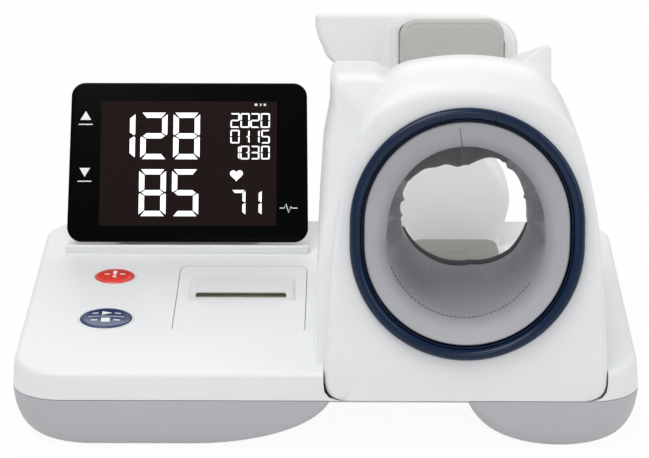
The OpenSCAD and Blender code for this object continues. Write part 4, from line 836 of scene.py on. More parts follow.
@dataclass
class TunnelHousing:
    """The arched white housing: a flat tilted face that rolls over into an arch with square shoulders behind."""

    columns: int = 480
    depth: float = 150.0
    hole: float = 84.6
    rise: float = 7.5
    far_hole: float = 57.5
    block: tuple[float, float] = (20.0, 149.6)
    skirt_z: float = 40.6
    skirt_draft: float = 2.0 / 27.4

    def arch_outline(self) -> list[tuple[float, float]]:
        """Half outline of the arch at its widest, mirrored to the whole."""
        half = [(99.5, -28.0), (105.5, -26.2), (108.7, -22.0), (109.5, -16.0), (109.5, 0.0)]
        half += [tuple(p) for p in bezier((104.3, 80), (102.0, 116), (93.0, 160), (76, 201), 10)]
        half += [tuple(p) for p in bezier((74.0, 205), (67.5, 219), (58, 227.5), (44, 231.4), 8)[1:]]
        half += [tuple(p) for p in bezier((44, 231.4), (30, 235), (14, 236.6), (0, 236.6), 6)[1:]]
        return both_sides(half)

    def shoulder_outline(self) -> list[tuple[float, float]]:
        """Outline of the square rear block, with its low peak at the right corner."""
        return [(90, -20), (100, 40), (98, 110), (92, 150), (84, 178), (74.5, 196), (69, 205), (67.2, 214),
                (66.9, 236), (66.6, 240), (65.4, 243), (63.4, 244), (61.2, 243.2), (58, 240.8), (49, 234.2),
                (42, 229.4), (36, 220), (0, 212), (-52, 214), (-60, 219.2), (-66, 222.4), (-71, 224.4), (-76, 225),
                (-99, 225), (-102.5, 224), (-104.7, 221.6), (-105.5, 218), (-105.5, 198), (-107.6, 186), (-110.9, 168),
                (-113.2, 130), (-114.5, 100), (-115, 60), (-115, -20)]

    def face_outline(self) -> list[tuple[float, float]]:
        """Where the flat face ends and the roll-over begins."""
        half = [(97, -28.0), (102.5, -25.5), (104.6, -21.0), (105.0, -14.0), (104.6, 0), (102.3, 45), (99.3, 90),
                (96.4, 125), (91.5, 155), (83.5, 180), (66.2, 196.2), (42.5, 206.2), (20, 209.6), (0, 210.3)]
        return both_sides(half)

    def surface(self) -> Shape:
        """The housing as one closed surface round the tunnel.

        The rows go from the ring's hole over the face, along a quarter ellipse whose reach in depth grows
        towards the crown, back along the arch while it widens into the shoulders, and in over the rear wall.

        Returns:
            The shape.
        """
        th = np.linspace(0, 2 * math.pi, self.columns, endpoint=False)
        s = np.sin(th)
        up = np.clip(s, 0, 1)
        hole = self.stadium(th, self.hole)
        face = eased(polar(self.face_outline(), th), 3)
        arch = eased(polar(self.arch_outline(), th), 2)
        far = self.stadium(th, self.far_hole, 5.0, 1.5)
        reach = 9.0 + 40.0 * smooth((s - 0.55) / 0.45)
        rows: list[tuple[np.ndarray, np.ndarray | float]] = [(hole, 2.0), (hole, 0.3), (hole + 0.6, 0.0)]
        for t in np.linspace(0, 1, 8)[1:]:
            rows.append((hole + 0.6 + (face - hole - 0.6) * t, 0.25 * up * smooth(t)))
        for a in np.radians(np.linspace(0, 90, 16))[1:]:
            rows.append((face + (arch - face) * math.sin(a) ** 1.15, reach * (1 - math.cos(a)) ** 0.92 + 0.25 * up))
        for t in np.linspace(0, 1, 22)[1:]:
            w = reach + (self.depth - 4.0 - reach) * t
            fall = np.clip(w - 55.0, 0, None) * 0.0787 * up**2
            rows.append((arch - fall, w))
        last = rows[-1][0]
        for a in np.radians((30, 60, 90)):
            rows.append((last - 4.0 * (1 - math.cos(a)), self.depth - 4.0 + 4.0 * math.sin(a)))
        for t in np.linspace(0, 1, 6)[1:]:
            rows.append((last - 4.0 + (far - last + 4.0) * t, self.depth))
        rows.append((far, self.depth - 3.0))
        radius = np.stack([np.broadcast_to(r, th.shape) for r, _ in rows])
        back = np.stack([np.broadcast_to(w, th.shape) for _, w in rows]).astype(float)
        points = round_axis(radius, th, back)
        skirt = -HALF_DEPTH + (np.clip(points[..., 2], self.skirt_z, FACE_FOOT_Z) - self.skirt_z) * self.skirt_draft
        front = points[..., 2] < FACE_FOOT_Z
        level = np.maximum(points[..., 1], skirt + np.clip(back, 0, None) * 0.98)
        points[..., 1] = np.where(front, level, points[..., 1])
        points[..., 2] = np.maximum(points[..., 2], self.skirt_z + 0.1)
        return Shape.loft(points, wrap=True)

    def shoulders(self) -> Shape:
        """The square rear block as a closed sleeve round the arch, its left front edge rolled over softly.

        Returns:
            The shape: out over the front wall, back along the outline, in over the rear wall, and forward inside.
        """
        th, outer = turned_outline(self.shoulder_outline(), 14)
        inner = np.minimum(polar(self.arch_outline(), th) - 6.0 - 16.0 * np.clip(np.sin(th), 0, 1) ** 2, outer - 6.0)
        w0, w1 = self.block
        turn = np.degrees(np.where(th < -math.pi / 2, th + 2 * math.pi, th))
        soft = smooth((turn - 94.0) / 16.0) * (1.0 - smooth((turn - 165.0) / 35.0))
        edge, run = 2.4 + 7.0 * soft, 2.4 + 40.0 * soft
        rows = [(inner, w0), (outer - edge, w0)]
        rows += [(outer - edge * (1 - math.sin(a)), w0 + run * (1 - math.cos(a)))
                 for a in np.radians(np.linspace(10, 90, 14))]
        rows += [(outer, w0 + run + (w1 - 5.0 - w0 - run) * k / 8.0) for k in range(1, 9)]
        rows += [(outer - 3.0 * (1 - math.cos(a)), w1 - 3.0 + 3.0 * math.sin(a))
                 for a in np.radians(np.linspace(0, 90, 5))]
        rows += [(inner, w1)]
        radius = np.stack([row for row, _ in rows])
        back = np.stack([np.broadcast_to(w, th.shape) for _, w in rows]).astype(float)
        back = back + (w1 - back) * np.where(np.cos(th) > 0, 0.30, 0.0) * (back < w1 - 6.0)
        rise = np.minimum(TUNNEL_AXIS + radius * np.sin(th), 245.0 - np.clip(back - 55.0, 0, None) * 0.17)
        points = TUNNEL.at(radius * np.cos(th), back, rise)
        points[..., 2] = np.maximum(points[..., 2], deck_height(points[..., 1]) - 1.0)
        return Shape.loft(points, wrap=True)

    def stadium(self, th: np.ndarray, r: float, hx: float = 0.0, hy: float | None = None) -> np.ndarray:
        """Radius of a round-ended outline round the centre: a circle of radius r moved out by hx and hy."""
        hy = self.rise if hy is None else hy
        loop = np.concatenate([arc(hx * sx, hy * sy + TUNNEL_AXIS, r, a, a + 90, 24)
                               for sx, sy, a in ((1, 1, 0), (-1, 1, 90), (-1, -1, 180), (1, -1, 270))])
        return polar(loop, th)

    def build(self) -> None:
        """Makes and dresses the housing."""
        housing = self.surface().piece("tunnel_housing", 42)
        dress(housing, Look.WHITE, nodes=["tunnel_front_shell"], slot="white_shell")
        rear = self.shoulders().piece("tunnel_shoulders", 30)
        dress(rear, Look.WHITE, nodes=["tunnel_rear_shell"], slot="white_shell")


@dataclass
class EntryRing:
    """Navy ring round the tunnel's mouth: a long part and a short top segment, each a bead with an inner lip."""

    rise: float = 7.5
    cap: float = 14.3
    gap: float = 0.3

    def profile(self) -> np.ndarray:
        """Section as (radius, forward): a rounded outer bead, a fine groove, and a narrow inner lip."""
        a = np.radians(np.linspace(-8, 176, 17))
        bead = np.stack([85.8 + 4.2 * np.cos(a), 3.2 + 4.8 * np.sin(a)], -1)
        lip = np.array([(81.5, 2.6), (81.3, 2.2), (81.0, 2.9), (80.6, 3.2), (80.2, 3.0), (80.0, 2.4), (80.0, -8.0),
                        (84.2, -8.0), (84.2, 0.35), (89.6, 0.35)])
        return np.concatenate([bead, lip])

    def path(self, a0: float, a1: float) -> tuple[np.ndarray, np.ndarray]:
        """Centres and outward directions from angle a0 to a1, clockwise from the top, in degrees."""
        a = np.radians(np.linspace(a0, a1, max(8, int((a1 - a0) / 1.5))))
        normal = np.stack([np.sin(a), np.cos(a)], -1)
        return np.stack([0 * a, TUNNEL_AXIS + self.rise * np.sign(normal[:, 1])], -1), normal

    def part(self, a0: float, a1: float, name: str) -> bpy.types.Object:
        """One part of the ring."""
        centre, normal = self.path(a0, a1)
        return Shape.loft(swept(self.profile(), centre, normal, TUNNEL)).piece(name, 40)

    def build(self) -> None:
        """Makes and dresses both parts."""
        body = self.part(self.cap + self.gap, 360 - self.cap - self.gap, "entry_ring_body")
        dress(body, Look.NAVY, nodes=["ring_body"], slot="navy_ring")
        top = self.part(-self.cap, self.cap, "entry_ring_top")
        dress(top, Look.NAVY, nodes=["ring_top_segment"], slot="navy_ring")


@dataclass
class ArmCuff:
    """Padded sleeve in the tunnel: a full roll behind the ring, then cloth drawn into folds to the far opening."""

    columns: int = 360
    rows: int = 110
    far: tuple = ((-180.0, 48.4), (-165.0, 48.7), (-143.4, 47.3), (-121.7, 45.7), (-78.8, 44.7), (-44.9, 52.5),
                  (-37.5, 54.1), (-10.1, 55.8), (-4.3, 54.3), (22.0, 54.0), (48.3, 54.9), (56.9, 54.8), (71.8, 46.5),
                  (81.7, 38.9), (96.2, 38.6), (141.0, 49.3), (161.1, 49.9))

    def inner(self, th: np.ndarray, w: np.ndarray) -> np.ndarray:
        """Inner radius of the sleeve at angle th and depth w.

        The roll is a quarter circle of about 20 mm, full at the top and slack at the bottom. Behind it the cloth
        runs to the far opening's outline, with pleats that are bells across the angle and grow with depth.

        Args:
            th: Angles from +X in radians. w: Depths in millimetres.

        Returns:
            The radii.
        """
        mouth = TunnelHousing().stadium(th, 78.6)
        angle, span = np.array(self.far).T
        far = np.interp(th, np.radians(angle), span, period=2 * math.pi)
        top = smooth((np.sin(th) + 0.55) / 1.3)
        puff = (15.5 + 5.5 * top) * np.sqrt(1.0 - (1.0 - np.clip((w + 0.6) / 19.0, 0, 1)) ** 2)
        recess = 7.0 * top * bump(w, 58.0, 26.0)
        draw = smooth((w - 26.0) / 112.0)
        base = mouth - puff
        reach = base + (far - base) * draw + recess
        pleat = np.zeros_like(reach)
        for centre, width, height, start, drift in self.pleats():
            place = math.radians(centre) + math.radians(drift) * (w - start) / 100.0
            d = np.abs((th - place + math.pi) % (2 * math.pi) - math.pi)
            pleat += height * np.exp(-((d / math.radians(width)) ** 1.4)) * smooth((w - start) / 34.0)
        slack = 0.8 * np.sin(3 * th + 0.5 + w * 0.02) * smooth((w - 20) / 60.0)
        return reach + (pleat + slack) * (1.0 - smooth((w - 90.0) / 50.0))

    def pleats(self) -> list[tuple[float, float, float, float, float]]:
        """The folds: angle, width, height (inwards below 0), depth at the start, and turn over 100 mm of depth."""
        return [(150, 4.0, -5.0, 20, 16), (160, 4.0, 4.5, 20, 14), (172, 3.5, -5.5, 22, 8), (184, 5.0, 4.5, 30, 4),
                (200, 5.0, -4.5, 36, -6), (214, 6.0, 3.0, 50, -4), (136, 6.0, 2.4, 26, 8), (112, 6.0, -2.2, 28, 4),
                (92, 2.4, -3.4, 26, 0), (80, 5.0, 3.0, 30, 5), (62, 4.0, -3.6, 24, -18), (46, 4.0, 4.4, 24, -20),
                (31, 4.0, -5.2, 24, -16), (16, 4.0, 4.6, 28, -12), (3, 4.0, -4.6, 32, -8), (-12, 5.0, 3.6, 42, -6),
                (-28, 5.5, -3.0, 52, -4), (-48, 6.0, 2.4, 66, 0), (-70, 5.0, -1.8, 78, 0), (-96, 14.0, 1.6, 60, 0),
                (-122, 6.0, -2.2, 74, 0), (-140, 5.0, 2.6, 60, 0)]

    def surface(self) -> Shape:
        """The sleeve as a closed skin: in over the roll, along the inside, and back along the outside.

        Returns:
            The shape, with a UV map in metres round and along the sleeve.
        """
        th = np.linspace(0, 2 * math.pi, self.columns, endpoint=False)
        mouth = TunnelHousing().stadium(th, 78.9)
        depth = np.concatenate([np.linspace(0, 40, 38), np.linspace(40, 152, self.rows - 38)[1:]])
        grid_th, grid_w = np.meshgrid(th, depth)
        inner = self.inner(grid_th, grid_w)
        roll = np.radians(np.linspace(0, 85, 8))[:, None]
        lip_r = mouth[None] - 1.3 + 1.3 * np.cos(roll)
        lip_w = 1.0 - 2.6 * np.sin(roll) + 0 * th[None]
        start = self.inner(th, np.zeros_like(th))
        lead = np.linspace(0, 1, 5)[1:-1, None]
        lead_r = lip_r[-1] + (start - lip_r[-1]) * lead
        lead_w = lip_w[-1] * (1 - lead) + 0 * th[None]
        end = inner[-1]
        tail_r = np.stack([end + 0.8, end + 2.6, end + 3.4])
        tail_w = np.stack([np.full_like(th, 153.2), np.full_like(th, 153.0), np.full_like(th, 151.0)])
        back_w = np.array([120.0, 84.0, 52.0, 30.0, 12.0])[:, None] + 0 * th[None]
        back_r = np.minimum(self.inner(np.broadcast_to(th, back_w.shape), back_w) + 5.0, mouth[None] + 1.0)
        radius = np.concatenate([lip_r, lead_r, inner, tail_r, back_r])
        back = np.concatenate([lip_w, lead_w, grid_w, tail_w, back_w])
        shape = Shape.loft(round_axis(radius, th, back), wrap=True)
        around = np.abs(th - math.pi) * 0.06
        along = np.cumsum(np.abs(np.diff(back, axis=0, prepend=back[:1])) + 0.3, 0) * MM
        shape.uv = np.stack([np.broadcast_to(around, radius.shape), along], -1).reshape(-1, 2)
        return shape

    def seam(self, name: str, start: float, turn: float, w: np.ndarray, pitch: float) -> None:
        """A row of stitches on the inside of the sleeve.

        Args:
            name: The piece's name. start: Angle of the row's first end in degrees. turn: Angle to its last end.
            w: Depths along the row. pitch: Distance from stitch to stitch.
        """
        th = np.radians(start + turn * np.linspace(0, 1, len(w)))
        line = round_axis(self.inner(th, w) - 0.25, th, w)
        dress(stitches(line, pitch, 0.32).piece(name), Look.THREAD)

    def shade_sheet(self) -> bpy.types.Object:
        """A dark sheet of painted shade under the top: it paints the shadow that the roll casts into the sleeve; a
        thin sheet over the sleeve whose near edge follows the roll.
        """
        share = np.linspace(0, 1, 90)
        th = np.radians(54.0 + 92.0 * share)
        start = 30.0 + 4.0 * np.sin(share * math.pi * 3.0) + 16.0 * np.abs(share - 0.5) ** 2
        w = start[None] + (150.5 - start[None]) * np.linspace(0, 1, 40)[:, None]
        near = self.inner(np.broadcast_to(th, w.shape), w)
        lift = 0.9 + 0.5 * np.sin(th * 16.0 + w * 0.05) * smooth((w - 40.0) / 50.0)
        loop_r = np.concatenate([near - lift, near[::-1] + 0.6])
        loop_w = np.concatenate([w, w[::-1] + 0.4])
        return Shape.loft(round_axis(loop_r, th, loop_w).transpose(1, 0, 2)).piece("cuff_painted_shade_sheet", 60)

    def hem(self) -> bpy.types.Object:
        """The rolled hem along the lower half of the far opening, thickest at the bottom."""
        th = np.radians(np.linspace(196, 350, 130))
        size = 0.9 + 1.9 * np.sin(np.linspace(0, math.pi, len(th))) ** 0.7
        mid = self.inner(th, np.full_like(th, 147.0)) - 0.4 * size
        a = np.linspace(0, 2 * math.pi, 16, endpoint=False)
        radius = mid[:, None] + size[:, None] * np.cos(a)
        rings = round_axis(radius, th[:, None], 147.0 + size[:, None] * np.sin(a))
        return Shape.domed(rings).piece("cuff_hem", 60)

    def build(self) -> None:
        """Makes and dresses the sleeve, its dark hem, the dark sheet of painted shade under the top, and its seams."""
        sleeve = self.surface().piece("cuff_sleeve", 60)
        dress(sleeve, Look.CUFF, nodes=["cuff_liner"], slot="cuff_fabric")
        # The hem is dark cloth; the sheet under the top is dark to paint the shadow that the roll casts into the
        # sleeve.
        for part in (self.hem(), self.shade_sheet()):
            part.data.uv_layers.new(name="cloth")
            dress(part, Look.DARK_HEM_AND_SHADE, slot="cuff_fabric")
        self.seam("top_seam", 94.5, -2.0, 30.5 * np.linspace(0, 1, 80) ** 2 - 0.55, 2.2)
        self.seam("left_seam", 146.0, 15.0, np.linspace(12, 26, 60), 2.6)
        self.seam("low_seam", -40.0, -112.0, 40 - 6 * np.sin(np.linspace(0, math.pi, 160)), 3.4)


def stitches(line: np.ndarray, pitch: float, radius: float) -> Shape:
    """Short rounded stitches along a line.

    Args:
        line: (n, 3) points in millimetres. pitch: Distance from stitch to stitch.
        radius: Radius of the thread.

    Returns:
        One shape: each stitch is a tube of six sides with closed ends, 62% of the pitch long.
    """
    step = np.linalg.norm(np.diff(line, axis=0), axis=1)
    run = np.concatenate([[0], np.cumsum(step)])
    count = max(2, int(run[-1] / pitch))
    along = (np.arange(count) + 0.5) * run[-1] / count
    half = 0.31 * run[-1] / count
    stations = along[:, None] + half * np.array([-1.0, -0.7, 0.7, 1.0])
    size = radius * np.array([0.45, 1.0, 1.0, 0.45])

    def point(at: np.ndarray) -> np.ndarray:
        """Points of the line at distances along it."""
        return np.stack([np.interp(at, run, line[:, k]) for k in range(3)], -1)

    mid, way = point(stations), point(stations + 0.1) - point(stations - 0.1)
    way /= np.linalg.norm(way, axis=-1, keepdims=True) + 1e-9
    side = np.cross(way, (0.31, 0.2, 0.93))
    side /= np.linalg.norm(side, axis=-1, keepdims=True) + 1e-9
    over = np.cross(way, side)
    a = np.linspace(0, 2 * math.pi, 6, endpoint=False)
    ring = np.cos(a)[:, None] * side[..., None, :] + np.sin(a)[:, None] * over[..., None, :]
    points = mid[..., None, :] + ring * size[None, :, None, None]
    one = quads(4, 6).tolist() + [[5, 4, 3, 2, 1, 0], [18, 19, 20, 21, 22, 23]]
    faces = [[v + 24 * k for v in f] for k in range(count) for f in one]
    return Shape(points.reshape(-1, 3), faces).outward()


# ---- buttons ----------------------------------------------------------------------------


def bar_mark(x: float, y: float, w: float, h: float) -> np.ndarray:
    """Outline of a bar of size w by h round (x, y), dense enough to follow a dome."""
    return dense(boxed(x - w / 2, x + w / 2, y - h / 2, y + h / 2))


@dataclass(frozen=True)
class PushButton:
    """One round button with its bright rim and its mark."""

    name: str
    x: float
    y: float
    size: float
    look: Look
    body: str
    slot: str
    nodes: tuple[str, str]
    marks: tuple[np.ndarray, ...]
    crown: float = 1.4
    shoulder: float = 1.0
    ink: float = 0.07

    def turned(self, profile: Sequence[tuple[float, float]], name: str, wrap: bool = False) -> bpy.types.Object:
        """A profile of (radius, height over the deck) turned about the button's middle.

        Args:
            profile: The section. name: The piece's name. wrap: Close the section on itself.

        Returns:
            The piece.
        """
        p = np.asarray(profile, float)
        a = np.linspace(0, 2 * math.pi, 96, endpoint=False)
        rings = DECK.at(self.x + p[:, 0:1] * np.cos(a), deck_run(self.y) + p[:, 0:1] * np.sin(a), p[:, 1:2] + 0 * a)
        shape = Shape.loft(rings, wrap=True) if wrap else Shape.domed(rings)
        return shape.piece(name, 40)

    def cap(self) -> bpy.types.Object:
        """The cap: a shallow dome with a soft shoulder, its hidden flange, and a hollow underside."""
        r = self.size / 2
        dome = [(r * t, self.shoulder + self.crown * (1 - t**2)) for t in np.linspace(0.06, 0.93, 12)]
        edge = [(r - 0.9, 0.95), (r - 0.35, 0.55), (r, -0.3), (r, -4.6), (r + 1.2, -4.8), (r + 1.2, -6.2),
                (r - 2, -6.2), (r - 2, -2.1), (3.0, -2.1), (3.0, -9.2)]
        return self.turned(dome + edge, f"{self.name}_cap")

    def rim(self) -> bpy.types.Object:
        """The rim: a thin rounded collar round the cap."""
        collar = [(0.35, -3.0), (0.35, 0.35), (0.6, 0.62), (1.1, 0.66), (1.5, 0.4), (1.6, 0.0), (1.6, -3.0),
                  (3.6, -3.2), (3.6, -4.5), (0.35, -4.5)]
        return self.turned([(self.size / 2 + out, up) for out, up in collar], f"{self.name}_rim", True)

    def mark(self) -> bpy.types.Object:
        """The cap's mark: flat outlines laid on the dome as thin ink."""
        parts = []
        for bar in self.marks:
            rings = []
            for scale, h in ((1.0, -0.2), (1.0, self.ink), (0.75, self.ink), (0.5, self.ink), (0.25, self.ink),
                             (0.05, self.ink)):
                x, y = (bar.mean(0) + (bar - bar.mean(0)) * scale).T
                dome = self.shoulder + self.crown * (1 - (np.hypot(x, y) / (self.size / 2)) ** 2)
                rings.append(DECK.at(self.x + x, deck_run(self.y) + y, dome + h))
            parts.append(Shape.domed(np.stack(rings)))
        return Shape.joined(parts).piece(f"{self.name}_mark")

    def build(self) -> None:
        """Makes and dresses the cap, its mark and its rim."""
        cap_node, rim_node = self.nodes
        dress(self.cap(), self.look, self.body, [cap_node], self.slot)
        dress(self.mark(), Look.INK, self.body)
        dress(self.rim(), Look.WHITE, nodes=[rim_node], slot="white_shell")


START_MARKS = (bar_mark(0, 0, 29.0, 0.7), dense([(-3.6, 2.9), (4.6, 7.0), (-3.6, 11.1)]), bar_mark(0, -7.0, 7.0, 7.4),
               bar_mark(-9.0, 7.0, 5.0, 1.6), bar_mark(9.0, 7.0, 5.0, 1.6), bar_mark(-9.0, -7.0, 5.0, 1.6),
               bar_mark(9.0, -7.0, 5.0, 1.6))
STOP_MARKS = (dense([(-1.2, -0.8), (1.2, -0.8), (1.9, 8.0), (-1.9, 8.0)]), bar_mark(0.0, -4.6, 2.8, 3.6),
              bar_mark(-6.4, 0.6, 4.4, 1.8), bar_mark(6.4, 0.6, 4.4, 1.8))
BUTTONS = (PushButton("start_stop", -177.2, -58.4, 41.5, Look.NAVY_CAP, "start_button", "navy_button",
                      ("start_stop_button", "start_button_rim"), START_MARKS),
           PushButton("emergency", -177.0, 32.0, 32.5, Look.RED_CAP, "emergency_stop", "red_button",
                      ("emergency_button", "emergency_button_rim"), STOP_MARKS))


# ---- printer ----------------------------------------------------------------------------


@dataclass
class PrinterDoor:
    """The printer's door: a flush panel with a low hood over the paper slot and two hinge knuckles."""

    x: float = -70.0
    width: float = 106.0
    front: float = -85.5
    length: float = 143.0
    edge: float = 9.0
    thick: float = 2.6
    hood_w: float = 87.8
    hood_y: tuple[float, float] = (-19.0, 37.0)
    hood_h: float = 7.9
    slot_w: float = 74.6
    slot_z: tuple[float, float] = (2.4, 6.9)
    roof: float = 0.16

    def at(self, x: np.ndarray, y: np.ndarray, z: np.ndarray | float) -> np.ndarray:
        """Points over the deck: x from the door's middle, y in the drawing's depth, z out of the deck."""
        return DECK.at(self.x + x, deck_run(y), z)

    def sunk(self, x: np.ndarray, z: np.ndarray, y: float) -> np.ndarray:
        """Points of the slot's outline at depth y, dropping with the hood's roof."""
        return self.at(x, np.full(len(x), y), z - (y - self.hood_y[0]) * self.roof)

    def panel(self) -> bpy.types.Object:
        """The flat panel with a softly broken edge."""
        y0, y1 = self.front, self.front + self.length * math.cos(math.radians(DECK_SLOPE))
        rings = []
        for o, z in ((0.4, -self.thick), (0.0, -self.thick + 0.4), (0.0, -0.7), (0.2, -0.2), (0.7, 0.0), (1.4, 0.0)):
            flat = round_rect(-self.width / 2 + o, self.width / 2 - o, y0 + o, y1 - o, self.edge - o, 12)
            rings.append(self.at(flat[:, 0], flat[:, 1], z))
        door = Shape.loft(np.stack(rings)).piece("door_panel", 40)
        hole = Shape.prism(round_rect(-39.5, 39.5, -13, 28, 2, 4), self.at, (-8.0, 3.0))
        return carved(door, hole.piece("hole"))

    def hood(self) -> bpy.types.Object:
        """The hood: a thick lip in front whose top slopes back into the panel, with flared cheeks.

        Height over the panel = lip height x (1 - depth share), times a quarter ellipse that falls from 1 to 0
        over the last 6 mm of either side; the front drops through a rounded lip.

        Returns:
            The hood, hollow from below, with the paper slot cut through its front.
        """
        n, m = 97, 49
        u = np.linspace(-1, 1, n)
        share = np.linspace(0, 1, m)
        x = self.hood_w / 2 * np.sign(u) * (1 - (1 - np.abs(u)) ** 1.9)
        y0, y1 = self.hood_y
        gx, gs = np.meshgrid(x, share)
        cheek = np.sqrt(1 - np.clip((np.abs(gx) - self.hood_w / 2) / 6.0 + 1, 0, 1) ** 2)
        lip = np.minimum(1.0, (gs / 0.02 + 1e-6)) ** 0.35
        height = self.hood_h * cheek * lip * (1 - gs) ** 1.05
        gy = y0 + (y1 - y0) * gs
        top = self.at(gx, gy, np.maximum(height, 0.0) + 0.03)
        low = self.at(gx, gy, 0 * height - 0.6)
        faces = quads(m, n, wrap_cols=False)
        under = faces[:, ::-1] + m * n
        edge = np.concatenate([np.arange(n), np.arange(1, m) * n + n - 1, (m - 1) * n + np.arange(n - 2, -1, -1),
                               np.arange(m - 2, 0, -1) * n])
        nxt = np.roll(edge, -1)
        rim = np.stack([edge, edge + m * n, nxt + m * n, nxt], -1)
        shape = Shape(np.concatenate([top.reshape(-1, 3), low.reshape(-1, 3)]),
                      faces.tolist() + under.tolist() + rim.tolist()).outward()
        hood = shape.piece("slot_hood", 38)
        mouth = round_rect(-self.slot_w / 2, self.slot_w / 2, *self.slot_z, (2.2, 2.2, 0.4, 0.4), 6)
        cut = Shape.prism(mouth, self.sunk, (-26.0, -5.5))
        room = Shape.prism(round_rect(-38.5, 38.5, -4.5, 24, 2, 4), self.at, (-3.0, -0.1))
        return carved(hood, Shape.joined([cut, room]).piece("mouth"), 38)

    def throat(self) -> bpy.types.Object:
        """The slot's inside: a shallow trough with rounded ends that slopes down into the dark."""
        rings = []
        half, (low, high) = self.slot_w / 2, self.slot_z
        for o, y in ((0.15, -18.3), (0.15, -5.4), (-0.35, -6.0), (-0.35, -18.3)):
            flat = round_rect(-half - o, half + o, low - o, high + o, (2.2, 2.2, 0.5, 0.5), 8)
            rings.append(self.sunk(flat[:, 0], flat[:, 1], y))
        return Shape.loft(np.stack(rings), wrap=True).piece("slot_throat")

    def knuckles(self) -> bpy.types.Object:
        """Two hinge knuckles under the rear edge, each a barrel with a web up to the panel."""
        a = np.radians(np.linspace(0, 360, 25)[:-1])
        parts = []
        for side in (-38.0, 38.0):
            web = np.stack([3.2 * np.cos(a), np.where(np.sin(a) > 0, 3.2 * np.sin(a) + 0.6, 3.2 * np.sin(a))], -1)
            bore = 1.25 * np.stack([np.cos(a), np.sin(a)], -1)
            rings = [(web, -6.0), (web, 6.0), (bore, 6.0), (bore, -6.0)]
            points = [self.at(np.full(len(a), side + dx), 40.0 + ring[:, 0], -5.0 + ring[:, 1]) for ring, dx in rings]
            parts.append(Shape.loft(np.stack(points), wrap=True))
        return Shape.joined(parts).piece("door_knuckles", 40)

    def build(self) -> None:
        """Makes and dresses the door."""
        dress(self.panel(), Look.WHITE, "door", ["printer_door"], "white_shell")
        dress(self.hood(), Look.WHITE, "door", slot="white_shell")
        dress(self.throat(), Look.OLIVE, "door", slot="white_shell")
        dress(self.knuckles(), Look.WHITE, "door", slot="white_shell")


# ---- display ----------------------------------------------------------------------------


SEGMENTS = {"0": "abcdef", "1": "bc", "2": "abged", "3": "abgcd", "5": "afgcd", "7": "abc", "8": "abcdefg"}


